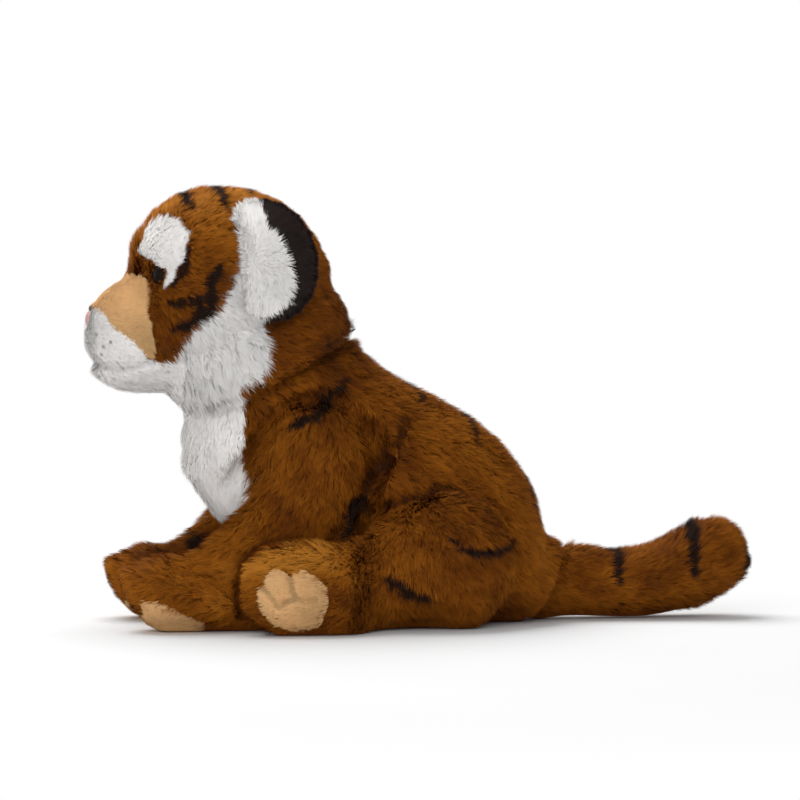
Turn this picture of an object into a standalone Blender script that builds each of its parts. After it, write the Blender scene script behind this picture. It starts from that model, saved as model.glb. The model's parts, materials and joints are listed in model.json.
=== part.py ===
"""Plush tiger cub, sitting, built as it comes apart on a bench: plush skins cut into sewn panels,
polyester stuffing inside each, a pellet bag in the seat, plastic eyes with their lock washers.

Metres, +Z up. The tiger faces -Y and its left side is +X. The origin is on the flat seat, under the hips.
Every seam that bends meets its neighbour on a face shaped about its own axis: round at the neck and the
tail, flat at the shoulders and the hips. The pieces turn there without a gap opening.
"""

import math

import bmesh
import bpy
from mathutils import Matrix, Vector

MM = 0.001

# Cloth, filling and clearances
SKIN_THICKNESS = 6.0 * MM  # backing cloth and pile together
SEAM_GAP = 0.4 * MM  # between any two pieces that touch
CUT_OVERRUN = 60.0 * MM  # how far a cutter runs past what it cuts
MERGE_DISTANCE = 0.01 * MM  # vertices this close after a cut are one
FLATNESS = math.radians(1.0)  # faces that meet at less than this are one

# Torso
TORSO_LENGTH = 190.0 * MM
TORSO_HEIGHT = 130.0 * MM
TORSO_WIDTH = 112.0 * MM

# Neck, a ball seam the head turns and nods on
NECK_TILT = math.radians(27.0)
NECK_RADIUS = 56.5 * MM
NECK_DEPTH = 30.0 * MM  # from the seam down to the middle of the ball
NECK_TRIM = 14.0 * MM  # how far below the seam the torso stays inside the ball, for nodding
NECK_PLUG_DIAMETER = 32.0 * MM
NECK_STEM_DIAMETER = 22.0 * MM

# Head
HEAD_LENGTH = 106.0 * MM
HEAD_WIDTH = 108.0 * MM
HEAD_HEIGHT = 104.0 * MM
CRANIUM_LENGTH = 110.0 * MM
JOWL_WIDTH = 112.0 * MM
JOWL_LENGTH = 106.0 * MM
JOWL_HEIGHT = 84.0 * MM
SNOUT_LENGTH = 47.0 * MM
SNOUT_WIDTH = 66.0 * MM
SNOUT_HEIGHT = 62.0 * MM
EYE_DIAMETER = 10.5 * MM
EYE_BULGE = 4.2 * MM
EYE_SHANK_DIAMETER = 3.4 * MM
EYE_SHANK_LENGTH = 11.0 * MM
WASHER_DIAMETER = 12.0 * MM
WASHER_THICKNESS = 1.6 * MM
NOSE_WIDTH = 15.0 * MM
NOSE_HEIGHT = 10.0 * MM
NOSE_DEPTH = 7.0 * MM
BROW_INNER_X = 14.0 * MM

# Ears
EAR_HEIGHT = 66.0 * MM
EAR_WIDTH = 51.0 * MM
EAR_THICKNESS = 15.0 * MM
EAR_FOLDS_DEG = (20.0, 0.0, -10.0)  # out, at rest, in

# Forelegs
FORELEG_INNER_X = 24.0 * MM  # flat face where the leg is sewn to the torso
FORELEG_OUTER_X = 53.5 * MM
SHOULDER_RADIUS = 34.0 * MM
SHOULDER_Y = -68.0 * MM
SHOULDER_Z = 92.0 * MM
FORELEG_REACH = 99.0 * MM  # from the shoulder forward to the toes

# Hind legs
HINDLEG_INNER_X = 34.0 * MM  # flat face where the leg is sewn to the torso
THIGH_OUTER_X = 72.0 * MM
THIGH_RADIUS = 42.0 * MM
HIP_Y = -3.0 * MM
HIP_Z = 35.0 * MM
HINDLEG_REACH = 108.0 * MM  # from the hip forward to the toes
HINDPAW_WIDTH = 31.0 * MM
HINDPAW_HEIGHT = 50.0 * MM
PAW_SPACING = 1.6 * MM  # air between a foreleg and the hind paw beside it
HINDPAW_PAD_LENGTH = 42.0 * MM
HINDPAW_PAD_HEIGHT = 37.0 * MM

# Tail
TAIL_DIAMETER = 39.0 * MM
TAIL_LENGTH = 112.0 * MM
TAIL_RISE = 20.0 * MM
TAIL_ROOT_Y = 55.0 * MM

# Pellet bag in the seat
PELLET_BAG_WIDTH = 34.0 * MM
PELLET_BAG_LENGTH = 60.0 * MM
PELLET_BAG_HEIGHT = 24.0 * MM

# Facets
OUTER_SIDES = 18
INNER_SIDES = 10
LATHE_SIDES = 14
NECK_SIDES = 24
DOME_RINGS = 2

# Colour and roughness of each finish
FINISHES = {
    "brown_plush": ((0.21, 0.075, 0.014), 0.95),
    "white_plush": ((0.72, 0.70, 0.68), 0.95),
    "black_plush": ((0.010, 0.008, 0.008), 0.95),
    "tan_velour": ((0.46, 0.25, 0.11), 0.9),
    "pink_thread": ((0.60, 0.30, 0.30), 0.8),
    "eye_plastic": ((0.012, 0.007, 0.005), 0.08),
    "clear_nylon": ((0.75, 0.75, 0.72), 0.4),
    "polyester_fill": ((0.86, 0.86, 0.85), 1.0),
    "pellet_cloth": ((0.80, 0.78, 0.72), 0.9),
}

X_AXIS = Vector((1.0, 0.0, 0.0))
Z_AXIS = Vector((0.0, 0.0, 1.0))
SIDES = (("left", 1.0), ("right", -1.0))
FAR = TORSO_WIDTH + CUT_OVERRUN


# Basic tools


def clear_scene():
    for obj in list(bpy.data.objects):
        bpy.data.objects.remove(obj, do_unlink=True)


def finish_material(name):
    """The named finish as a Blender material, made once."""
    found = bpy.data.materials.get(name)
    if found:
        return found
    colour, roughness = FINISHES[name]
    made = bpy.data.materials.new(name)
    made.use_nodes = True
    shader = made.node_tree.nodes["Principled BSDF"]
    shader.inputs["Base Color"].default_value = (*colour, 1.0)
    shader.inputs["Roughness"].default_value = roughness
    shader.inputs["Metallic"].default_value = 0.0
    return made


def new_object(name, mesh):
    obj = bpy.data.objects.new(name, mesh)
    bpy.context.scene.collection.objects.link(obj)
    return obj


def object_from_bmesh(name, shape):
    """A closed mesh becomes an object with its faces outwards."""
    bmesh.ops.recalc_face_normals(shape, faces=shape.faces)
    if shape.calc_volume(signed=True) < 0.0:
        bmesh.ops.reverse_faces(shape, faces=shape.faces)
    mesh = bpy.data.meshes.new(name)
    shape.to_mesh(mesh)
    shape.free()
    return new_object(name, mesh)


def discard(*objects):
    for obj in objects:
        bpy.data.objects.remove(obj, do_unlink=True)


def copy_of(obj):
    return new_object("helper", obj.data.copy())


def combine(obj, other, operation):
    """Applies an exact Boolean with another closed mesh to obj's own mesh."""
    modifier = obj.modifiers.new("cut", "BOOLEAN")
    modifier.operation = operation
    modifier.solver = "EXACT"
    modifier.object = other
    graph = bpy.context.evaluated_depsgraph_get()
    graph.update()
    obj.data = bpy.data.meshes.new_from_object(obj.evaluated_get(graph))
    obj.modifiers.clear()
    return cleaned(obj)


def cleaned(obj):
    """Merges the vertices a cut leaves on top of one another, unless that would open the mesh."""
    shape = bmesh.new()
    shape.from_mesh(obj.data)
    bmesh.ops.remove_doubles(shape, verts=shape.verts, dist=MERGE_DISTANCE)
    bmesh.ops.dissolve_degenerate(shape, edges=shape.edges, dist=MERGE_DISTANCE)
    bmesh.ops.triangulate(shape, faces=shape.faces)
    if all(len(edge.link_faces) == 2 for edge in shape.edges):
        shape.to_mesh(obj.data)
    shape.free()
    return obj


def cut(obj, *cutters):
    for cutter in cutters:
        combine(obj, cutter, "DIFFERENCE")
    return obj


def halved(obj, point, normal):
    """Cuts a closed form flat and keeps the side that normal points away from."""
    shape = bmesh.new()
    shape.from_mesh(obj.data)
    everything = list(shape.verts) + list(shape.edges) + list(shape.faces)
    made = bmesh.ops.bisect_plane(
        shape, geom=everything, plane_co=point, plane_no=normal, clear_outer=True
    )
    rim = [item for item in made["geom_cut"] if isinstance(item, bmesh.types.BMEdge)]
    if rim:
        bmesh.ops.holes_fill(shape, edges=rim, sides=0)
    bmesh.ops.recalc_face_normals(shape, faces=shape.faces)
    if shape.calc_volume(signed=True) < 0.0:
        bmesh.ops.reverse_faces(shape, faces=shape.faces)
    shape.to_mesh(obj.data)
    shape.free()
    return obj


def lie_flat(obj, height=0.0):
    return halved(obj, Z_AXIS * height, -Z_AXIS)


def connected(vertex):
    """All vertices joined to this one by edges."""
    found = {vertex}
    edge_of_search = [vertex]
    while edge_of_search:
        here = edge_of_search.pop()
        for edge in here.link_edges:
            other = edge.other_vert(here)
            if other not in found:
                found.add(other)
                edge_of_search.append(other)
    return found


def without_scraps(obj):
    """Keeps the largest body of a cut mesh and drops the slivers beside it."""
    shape = bmesh.new()
    shape.from_mesh(obj.data)
    remaining = set(shape.verts)
    bodies = []
    while remaining:
        body = connected(next(iter(remaining)))
        remaining -= body
        faces = {face for vertex in body for face in vertex.link_faces}
        bodies.append((sum(face.calc_area() for face in faces), body))
    bodies.sort(key=lambda item: item[0])
    for _, body in bodies[:-1]:
        bmesh.ops.delete(shape, geom=list(body), context="VERTS")
    shape.to_mesh(obj.data)
    shape.free()
    return obj


def simplified(obj):
    """Joins faces that lie in one plane, unless that would open the mesh."""
    shape = bmesh.new()
    shape.from_mesh(obj.data)
    bmesh.ops.dissolve_limit(shape, angle_limit=FLATNESS, verts=shape.verts, edges=shape.edges)
    bmesh.ops.triangulate(shape, faces=shape.faces)
    bmesh.ops.dissolve_degenerate(shape, edges=shape.edges, dist=MERGE_DISTANCE)
    if all(len(edge.link_faces) == 2 for edge in shape.edges):
        shape.to_mesh(obj.data)
    shape.free()
    return obj


def ended(obj, name, finish, pivot):
    """Names a finished piece, gives it its finish and its origin, and shades it smooth."""
    simplified(without_scraps(obj))
    obj.data.transform(Matrix.Translation(-pivot))
    obj.location = pivot
    obj.name = name
    obj.data.materials.clear()
    obj.data.materials.append(finish_material(finish))
    obj.data.shade_smooth()
    obj.data.set_sharp_from_angle(angle=math.radians(40.0))
    return obj


def on_both_sides(piece, label, finish, pivot):
    """Names the left piece and makes its mirror image the right one."""
    right = copy_of(piece)
    right.data.transform(Matrix.Scale(-1.0, 4, X_AXIS))
    right.data.flip_normals()
    ended(piece, label + "_left", finish, pivot)
    ended(right, label + "_right", finish, Vector((-pivot.x, pivot.y, pivot.z)))


# Forms


def smooth_between(before, start, end, after, t):
    """Catmull-Rom curve from start to end."""
    return 0.5 * (
        2.0 * start
        + (end - before) * t
        + (2.0 * before - 5.0 * start + 4.0 * end - after) * t * t
        + (3.0 * start - before - 3.0 * end + after) * t * t * t
    )


def filled_in(slices, steps):
    """Slices with smooth ones added between them. A slice is (centre, half vector, half width)."""
    made = []
    last = len(slices) - 1
    for i in range(last):
        four = [slices[max(0, min(last, i + k))] for k in (-1, 0, 1, 2)]
        for step in range(steps):
            t = step / steps
            made.append(tuple(smooth_between(*(s[part] for s in four), t) for part in range(3)))
    made.append(slices[last])
    return made


def bridged(shape, rings):
    """Faces between each ring of vertices and the next."""
    for lower, upper in zip(rings, rings[1:]):
        count = len(lower)
        for k in range(count):
            n = (k + 1) % count
            shape.faces.new((lower[k], lower[n], upper[n]))
            shape.faces.new((lower[k], upper[n], upper[k]))


def capped(shape, ring, tip):
    """A fan of faces from a ring to one vertex."""
    pole = shape.verts.new(tip)
    for k, vertex in enumerate(ring):
        shape.faces.new((pole, vertex, ring[(k + 1) % len(ring)]))


def stuffed_form(slices, start, end, sides, inset, roundness=2.0):
    """A closed stuffed body through oval slices, with a dome at each end that reaches start and end.

    A slice is (centre, half vector in the side view, half width along X). inset moves the whole
    surface inwards. A roundness over 2 is boxier.
    """

    def dome(whole, tip):
        centre, half, width = whole
        angles = [math.radians(90.0) * k / (DOME_RINGS + 1) for k in range(1, DOME_RINGS + 1)]
        return [
            (centre.lerp(tip, math.sin(a)), half * math.cos(a), width * math.cos(a)) for a in angles
        ]

    full = filled_in(slices, 2 if sides == OUTER_SIDES else 1)
    rings = [(c, h * (1.0 - inset / h.length), w - inset) for c, h, w in full]
    start = start + (rings[0][0] - start).normalized() * inset
    end = end + (rings[-1][0] - end).normalized() * inset
    # A slice that the inset has left beyond an end goes.
    while (rings[0][0] - start).dot(rings[1][0] - rings[0][0]) <= 0.0:
        rings.pop(0)
    while (rings[-1][0] - end).dot(rings[-2][0] - rings[-1][0]) <= 0.0:
        rings.pop()
    rings = list(reversed(dome(rings[0], start))) + rings + dome(rings[-1], end)
    shape = bmesh.new()
    made = []
    for centre, half, width in rings:
        ring = []
        for k in range(sides):
            angle = math.tau * k / sides
            along, across = math.cos(angle), math.sin(angle)
            along = math.copysign(abs(along) ** (2.0 / roundness), along)
            across = math.copysign(abs(across) ** (2.0 / roundness), across)
            ring.append(shape.verts.new(centre + half * along + X_AXIS * width * across))
        made.append(ring)
    bridged(shape, made)
    capped(shape, made[0], start)
    capped(shape, made[-1], end)
    return object_from_bmesh("form", shape)


def ball(centre, size, sides, inset=0.0, turn=None):
    """An egg-shaped closed form with its sizes along X, Y and Z, turned by a matrix if one is given."""
    radii = [value / 2.0 - inset for value in size]
    shape = bmesh.new()
    bmesh.ops.create_uvsphere(shape, u_segments=sides, v_segments=max(6, sides * 2 // 3), radius=1.0)
    place = Matrix.Translation(centre) @ (turn or Matrix.Identity(4)) @ Matrix.Diagonal((*radii, 1.0))
    bmesh.ops.transform(shape, matrix=place, verts=shape.verts)
    return object_from_bmesh("ball", shape)


def turned(place, profile, sides):
    """A lathe-turned closed form. The profile is (radius, height), from its low end to its high end."""
    shape = bmesh.new()
    rings = []
    for radius, height in profile[1:-1]:
        angles = [math.tau * k / sides for k in range(sides)]
        rings.append(
            [shape.verts.new((radius * math.cos(a), radius * math.sin(a), height)) for a in angles]
        )
    bridged(shape, rings)
    capped(shape, rings[0], (0.0, 0.0, profile[0][1]))
    capped(shape, rings[-1], (0.0, 0.0, profile[-1][1]))
    bmesh.ops.transform(shape, matrix=place, verts=shape.verts)
    return object_from_bmesh("turned", shape)


def prism(outline, inner_x, outer_x):
    """A cutter whose side view is the outline, a list of (y, z), between two planes across X."""
    shape = bmesh.new()
    face = shape.faces.new([shape.verts.new((inner_x, y, z)) for y, z in outline])
    made = bmesh.ops.extrude_face_region(shape, geom=[face])
    moved = [item for item in made["geom"] if isinstance(item, bmesh.types.BMVert)]
    bmesh.ops.translate(shape, verts=moved, vec=X_AXIS * (outer_x - inner_x))
    return object_from_bmesh("prism", shape)


def shrunk(outline, distance):
    """The outline with each side moved inwards by the distance."""
    count = len(outline)
    area = sum(
        outline[k][0] * outline[(k + 1) % count][1] - outline[(k + 1) % count][0] * outline[k][1]
        for k in range(count)
    )
    turn = 1.0 if area > 0.0 else -1.0
    made = []
    for k in range(count):
        here = Vector(outline[k])
        before = (here - Vector(outline[k - 1])).normalized()
        after = (Vector(outline[(k + 1) % count]) - here).normalized()
        inward_before = Vector((-before.y, before.x)) * turn
        inward_after = Vector((-after.y, after.x)) * turn
        between = (inward_before + inward_after).normalized()
        made.append(tuple(here + between * distance / max(0.4, between.dot(inward_before))))
    return made


def arc(centre, radius, start_deg, end_deg, count):
    """Points of a round stretch of an outline in the side view."""
    angles = [math.radians(start_deg + (end_deg - start_deg) * k / count) for k in range(count + 1)]
    return [(centre[0] + radius * math.cos(a), centre[1] + radius * math.sin(a)) for a in angles]


def panel_from(skin, outline, inner_x, outer_x):
    """Cuts a panel out of a skin by its side view, a seam gap smaller than the hole it leaves."""
    panel = copy_of(skin)
    narrow = prism(shrunk(outline, SEAM_GAP), inner_x + SEAM_GAP, outer_x)
    wide = prism(outline, inner_x, outer_x)
    combine(panel, narrow, "INTERSECT")
    cut(skin, wide)
    without_scraps(skin)
    discard(narrow, wide)
    return panel


def panels_from(skin, outline, inner_x, label, finish, pivot):
    """Cuts the same panel out of both sides of a skin, from this far across outwards."""
    panel = panel_from(skin, outline, inner_x, FAR)
    opposite = prism(outline, -inner_x, -FAR)
    cut(skin, opposite)
    without_scraps(skin)
    discard(opposite)
    on_both_sides(panel, label, finish, pivot)


# Torso

# Belly-side y and z, back-side y and z, half width: shares of the torso's length, height and half width
TORSO_SLICE_SHARES = (
    (-0.715, 1.02, -0.235, 1.32, 0.76),
    (-0.680, 0.84, -0.215, 1.12, 0.82),
    (-0.690, 0.64, -0.060, 0.96, 0.88),
    (-0.560, 0.37, 0.100, 0.83, 0.95),
    (-0.270, -0.015, 0.205, 0.67, 1.00),
    (0.000, -0.015, 0.270, 0.52, 0.92),
    (0.190, -0.015, 0.308, 0.35, 0.72),
)
TORSO_TOP_SHARES = (-0.56, 1.46)
TORSO_REAR_SHARES = (0.325, 0.12)
CHEST_EDGE_SHARES = ((-0.545, 1.40), (-0.545, 0.86), (-0.542, 0.64), (-0.562, 0.48), (-0.60, 0.42))
NECK_SHARES = (-0.463, 0.996)
PELLET_BAG_LIFT_SHARE = 0.3
# Below the round of each pocket: y and z from the joint, as shares of the leg's radius there
FORELEG_ROOM_SHARES = (
    (-1.14, 0.22), (-1.32, -0.08), (-1.52, -0.50), (-1.96, -0.66), (-1.96, -3.2), (0.30, -3.2),
)
THIGH_ROOM_SHARES = ((-0.88, 0.76), (-1.40, 0.80), (-1.40, -1.5), (0.0, -1.5))
LEG_ROOM = 3.0 * SEAM_GAP  # round a leg, for it to turn in


def torso_point(shares):
    return Vector((0.0, shares[0] * TORSO_LENGTH, shares[1] * TORSO_HEIGHT))


def neck_point():
    return torso_point(NECK_SHARES)


def neck_normal():
    """Unit vector out of the torso at the neck seam, leaning forward."""
    return Vector((0.0, -math.sin(NECK_TILT), math.cos(NECK_TILT)))


def neck_centre():
    """Middle of the ball that the head turns and nods about."""
    return neck_point() - neck_normal() * NECK_DEPTH


def neck_place():
    """Frame at the middle of the neck ball with its Z axis up the neck."""
    return Matrix.Translation(neck_centre()) @ neck_normal().to_track_quat("Z", "Y").to_matrix().to_4x4()


def neck_ball(radius):
    return ball(neck_centre(), (2.0 * radius,) * 3, NECK_SIDES, 0.0, neck_place().to_3x3().to_4x4())


def above_neck(form, radius):
    """Rounds the torso's top: everything that is near the seam or above it and outside the ball goes."""
    block = prism([(-FAR, 0.0), (FAR, 0.0), (FAR, FAR), (-FAR, FAR)], -FAR, FAR)
    place = Matrix.Translation(neck_point() - neck_normal() * NECK_TRIM)
    block.data.transform(place @ Matrix.Rotation(NECK_TILT, 4, "X"))
    dome = neck_ball(radius)
    cut(block, dome)
    cut(form, block)
    discard(block, dome)
    return form


def neck_plug_profile(gap, top):
    """A ball in the torso with a stem that reaches up into the head's seam."""
    wide, stem = NECK_PLUG_DIAMETER / 2.0 + gap, NECK_STEM_DIAMETER / 2.0 + gap
    return (
        (0.0, -wide),
        (wide * 0.7, -wide * 0.72),
        (wide, 0.0),
        (stem, wide * 0.72),
        (stem, top),
        (0.0, top),
    )


def torso_form(sides, inset):
    slices = []
    for front_y, front_z, back_y, back_z, width in TORSO_SLICE_SHARES:
        front, back = torso_point((front_y, front_z)), torso_point((back_y, back_z))
        slices.append(((front + back) / 2.0, (back - front) / 2.0, width * TORSO_WIDTH / 2.0))
    top, rear = torso_point(TORSO_TOP_SHARES), torso_point(TORSO_REAR_SHARES)
    form = stuffed_form(slices, top, rear, sides, inset)
    lie_flat(form, inset)
    return above_neck(form, NECK_RADIUS - inset)


def leg_pocket(centre, radius, start_deg, end_deg, room_shares, inner_x, side):
    """The room a leg turns in: round above its joint, then out along its front when it is raised."""
    outline = arc(centre, radius + LEG_ROOM, start_deg, end_deg, 20)
    for along, up in room_shares:
        outline.append((centre[0] + along * radius, centre[1] + up * radius))
    return prism(outline, side * (inner_x - SEAM_GAP), side * FAR)


def leg_pockets():
    shoulder, hip = (SHOULDER_Y, SHOULDER_Z), (HIP_Y, HIP_Z)
    made = []
    for _, side in SIDES:
        made.append(
            leg_pocket(shoulder, SHOULDER_RADIUS, -20.0, 155.0, FORELEG_ROOM_SHARES, FORELEG_INNER_X, side)
        )
        made.append(leg_pocket(hip, THIGH_RADIUS, -90.0, 128.0, THIGH_ROOM_SHARES, HINDLEG_INNER_X, side))
    return made


def torso_pieces(tail_space):
    """torso_skin, chest_panel, torso_stuffing, seat_pellet_bag and neck_plug."""
    skin = torso_form(OUTER_SIDES, 0.0)
    room = torso_form(INNER_SIDES, SKIN_THICKNESS)
    filling = torso_form(INNER_SIDES, SKIN_THICKNESS + SEAM_GAP)
    cut(skin, room)
    stem_top = NECK_RADIUS - SKIN_THICKNESS / 3.0
    plug = turned(neck_place(), neck_plug_profile(0.0, stem_top), LATHE_SIDES)
    roomy = neck_plug_profile(2.0 * SEAM_GAP, NECK_RADIUS + CUT_OVERRUN)
    plug_room = turned(neck_place(), roomy, LATHE_SIDES)
    pockets = [plug_room, tail_space, *leg_pockets()]
    edge = [torso_point(shares) for shares in CHEST_EDGE_SHARES]
    outline = [(p.y, p.z) for p in edge]
    outline.append((-TORSO_LENGTH, edge[-1].z))
    outline.append((-TORSO_LENGTH, edge[0].z))
    chest = panel_from(skin, outline, -FAR, FAR)
    cut(chest, *pockets)
    cut(skin, *pockets)
    cut(filling, *pockets)
    bag_size = (PELLET_BAG_WIDTH, PELLET_BAG_LENGTH, PELLET_BAG_HEIGHT)
    bag_centre = Vector((0.0, HIP_Y, SKIN_THICKNESS + PELLET_BAG_LIFT_SHARE * PELLET_BAG_HEIGHT))
    bag = lie_flat(ball(bag_centre, bag_size, INNER_SIDES), SKIN_THICKNESS + SEAM_GAP)
    # The bag lies at the bottom of the filling, so its room opens downwards.
    bag_room = ball(bag_centre, bag_size, INNER_SIDES, -SEAM_GAP)
    cut(filling, bag_room)
    origin = Vector()
    ended(skin, "torso_skin", "brown_plush", origin)
    ended(chest, "chest_panel", "white_plush", origin)
    ended(filling, "torso_stuffing", "polyester_fill", origin)
    ended(bag, "seat_pellet_bag", "pellet_cloth", origin)
    ended(plug, "neck_plug", "polyester_fill", neck_centre())
    discard(room, bag_room, *pockets)


# Head, all placed from the neck point in shares of the head's own sizes

CRANIUM_PLACE_SHARES = (-0.207, 0.450)
JOWL_PLACE_SHARES = (-0.060, 0.120)
SNOUT_PLACE_SHARES = (-0.460, 0.19)
# Distance from the face, bottom, top, half width: shares of the snout's length, height and half width
SNOUT_SLICE_SHARES = (
    (-0.40, -0.30, 0.40, 0.90),
    (0.00, -0.44, 0.58, 1.00),
    (0.35, -0.46, 0.54, 0.98),
    (0.64, -0.43, 0.44, 0.88),
    (0.86, -0.30, 0.30, 0.66),
)
SNOUT_TIP_SHARES = (1.0, 0.02)
SNOUT_ROOT_SHARES = (-0.8, 0.02)


def head_point(shares, across=0.0):
    """A point placed from the neck in shares of the head's length and height."""
    return neck_point() + Vector((across, shares[0] * HEAD_LENGTH, shares[1] * HEAD_HEIGHT))


def snout_point(ahead, up):
    """A point placed from the middle of the face in shares of the snout's length and height."""
    return head_point(SNOUT_PLACE_SHARES) + Vector((0.0, -ahead * SNOUT_LENGTH, up * SNOUT_HEIGHT))


def head_form(sides, inset):
    """Cranium, jowls and snout in one closed form, uncut at the neck."""
    cranium_size = (HEAD_WIDTH, CRANIUM_LENGTH, HEAD_HEIGHT)
    form = ball(head_point(CRANIUM_PLACE_SHARES), cranium_size, sides, inset)
    turn = Matrix.Rotation(NECK_TILT, 4, "X")
    jowl_size = (JOWL_WIDTH, JOWL_LENGTH, JOWL_HEIGHT)
    jowl = ball(head_point(JOWL_PLACE_SHARES), jowl_size, sides, inset, turn)
    slices = [
        (
            (snout_point(ahead, low) + snout_point(ahead, high)) / 2.0,
            (snout_point(ahead, high) - snout_point(ahead, low)) / 2.0,
            width * SNOUT_WIDTH / 2.0,
        )
        for ahead, low, high, width in SNOUT_SLICE_SHARES
    ]
    root, tip = snout_point(*SNOUT_ROOT_SHARES), snout_point(*SNOUT_TIP_SHARES)
    snout = stuffed_form(slices, root, tip, sides, inset, roundness=2.2)
    combine(form, jowl, "UNION")
    combine(form, snout, "UNION")
    discard(jowl, snout)
    return form


def at_neck(form):
    """Hollows the head's underside to the ball it sits on, clear of the torso's facets as it turns."""
    block = prism([(-FAR, 0.0), (FAR, 0.0), (FAR, -FAR), (-FAR, -FAR)], -FAR, FAR)
    place = Matrix.Translation(neck_point() + neck_normal() * SEAM_GAP)
    block.data.transform(place @ Matrix.Rotation(NECK_TILT, 4, "X"))
    socket = neck_ball(NECK_RADIUS + 2.0 * SEAM_GAP)
    cut(form, block, socket)
    discard(block, socket)
    return form


# Panel outlines in the side view: y and z as shares of the head's length and height, from the neck point.
# A panel cut later runs on into the hole of one cut before it, and ends at that hole's edge.
TAN_BRIDGE_SHARES = (
    (-0.640, 0.60), (-0.630, 0.44), (-0.635, 0.26), (-0.628, 0.100),
    (-0.700, 0.185), (-0.782, 0.250), (-0.848, 0.335), (-1.0, 0.335), (-1.0, 0.60),
)
WHISKER_PAD_SHARES = (
    (-0.637, 0.085), (-0.70, 0.30), (-0.80, 0.40), (-1.0, 0.40), (-1.0, 0.085),
)
CHIN_SHARES = ((-0.455, 0.080), (-0.637, 0.088), (-0.70, 0.20), (-1.0, 0.20), (-1.0, -0.25), (-0.455, -0.25))
RUFF_SHARES = (
    (-0.199, 0.71), (-0.093, 0.50), (-0.088, 0.345), (-0.055, 0.19), (-0.027, 0.075), (-0.10, -0.30),
    (-0.54, -0.30), (-0.52, 0.085), (-0.492, 0.13), (-0.443, 0.245), (-0.328, 0.345), (-0.257, 0.475),
    (-0.217, 0.60),
)
BROW_PATCH_SHARES = (
    (-0.665, 0.70), (-0.635, 0.775), (-0.569, 0.805), (-0.509, 0.795), (-0.446, 0.755), (-0.436, 0.68),
    (-0.471, 0.605), (-0.492, 0.555), (-0.545, 0.508), (-0.589, 0.52), (-0.596, 0.575), (-0.635, 0.62),
)
EYE_PLACE_SHARES = (0.305, -0.585, 0.530)
EYE_AIM = Vector((0.58, -0.80, 0.12))
NOSE_SHARES = (0.915, 0.160)


def in_head(shares):
    return [(p.y, p.z) for p in (head_point(pair) for pair in shares)]


def eye_place(side):
    """Where an eye's rim lies, with its own Z axis out of the head."""
    across, along, up = EYE_PLACE_SHARES
    spot = head_point((along, up), side * across * HEAD_WIDTH)
    aim = Vector((side * EYE_AIM.x, EYE_AIM.y, EYE_AIM.z)).normalized()
    return Matrix.Translation(spot) @ aim.to_track_quat("Z", "Y").to_matrix().to_4x4()


def eye_profile(gap):
    """Plastic eye from the tip of its shank to the top of its dome."""
    shank, dome = EYE_SHANK_DIAMETER / 2.0 + gap, EYE_DIAMETER / 2.0 + gap
    rim = EYE_BULGE * 0.25
    return (
        (0.0, -EYE_SHANK_LENGTH - gap),
        (shank, -EYE_SHANK_LENGTH - gap),
        (shank, -rim - gap),
        (dome, -rim - gap),
        (dome, rim * 0.5),
        (dome * 0.86, EYE_BULGE * 0.55),
        (dome * 0.50, EYE_BULGE * 0.88 + gap),
        (0.0, EYE_BULGE + gap),
    )


def washer_profile(gap):
    """Ring that grips the shank behind the cloth."""
    high = -SKIN_THICKNESS - SEAM_GAP + gap
    low = high - WASHER_THICKNESS - 2.0 * gap
    wide = WASHER_DIAMETER / 2.0 + gap
    return ((0.0, low), (wide, low), (wide, high), (0.0, high))


def head_pieces():
    """Head skin and panels, stuffing, eyes with their washers, nose."""
    skin = at_neck(head_form(OUTER_SIDES, 0.0))
    room = head_form(INNER_SIDES, SKIN_THICKNESS)
    filling = at_neck(head_form(INNER_SIDES, SKIN_THICKNESS + SEAM_GAP))
    cut(skin, room)
    nose_size = (NOSE_WIDTH, NOSE_DEPTH, NOSE_HEIGHT)
    nose = ball(snout_point(*NOSE_SHARES), nose_size, INNER_SIDES)
    nose_room = ball(snout_point(*NOSE_SHARES), nose_size, INNER_SIDES, -SEAM_GAP)
    cut(skin, nose_room)
    cut(filling, nose_room)
    used = [room, nose_room]
    pivot = neck_centre()
    for label, side in SIDES:
        place = eye_place(side)
        eye = turned(place, eye_profile(0.0), LATHE_SIDES)
        eye_room = turned(place, eye_profile(SEAM_GAP), LATHE_SIDES)
        washer = turned(place, washer_profile(0.0), LATHE_SIDES)
        washer_room = turned(place, washer_profile(SEAM_GAP), LATHE_SIDES)
        cut(washer, eye_room)
        cut(skin, eye_room, washer_room)
        cut(filling, eye_room, washer_room)
        ended(eye, "eye_" + label, "eye_plastic", pivot)
        ended(washer, "eye_washer_" + label, "clear_nylon", pivot)
        used += [eye_room, washer_room]
    bridge = panel_from(skin, in_head(TAN_BRIDGE_SHARES), -FAR, FAR)
    ended(bridge, "muzzle_bridge", "tan_velour", pivot)
    middle = -SEAM_GAP / 2.0
    panels_from(skin, in_head(WHISKER_PAD_SHARES), middle, "whisker_pad", "white_plush", pivot)
    chin = panel_from(skin, in_head(CHIN_SHARES), -FAR, FAR)
    ended(chin, "chin", "white_plush", pivot)
    panels_from(skin, in_head(RUFF_SHARES), middle, "cheek_ruff", "white_plush", pivot)
    panels_from(skin, in_head(BROW_PATCH_SHARES), BROW_INNER_X, "brow_patch", "white_plush", pivot)
    ended(skin, "head_skin", "brown_plush", pivot)
    ended(filling, "head_stuffing", "polyester_fill", pivot)
    ended(nose, "nose", "pink_thread", pivot)
    discard(*used)


# Ears

EAR_PLACE_SHARES = (0.450, -0.064, 0.591)
EAR_AIM = Vector((0.90, -0.28, 0.33))
EAR_TILT = math.radians(14.0)
EAR_LINING_SHIFT_SHARES = (-0.17, -0.06, 0.45)
EAR_LINING_SIZE_SHARES = (0.92, 0.94, 1.0)
EAR_SEAM_SHARE = -0.22  # where the fold runs, across the ear's width from its middle


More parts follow.
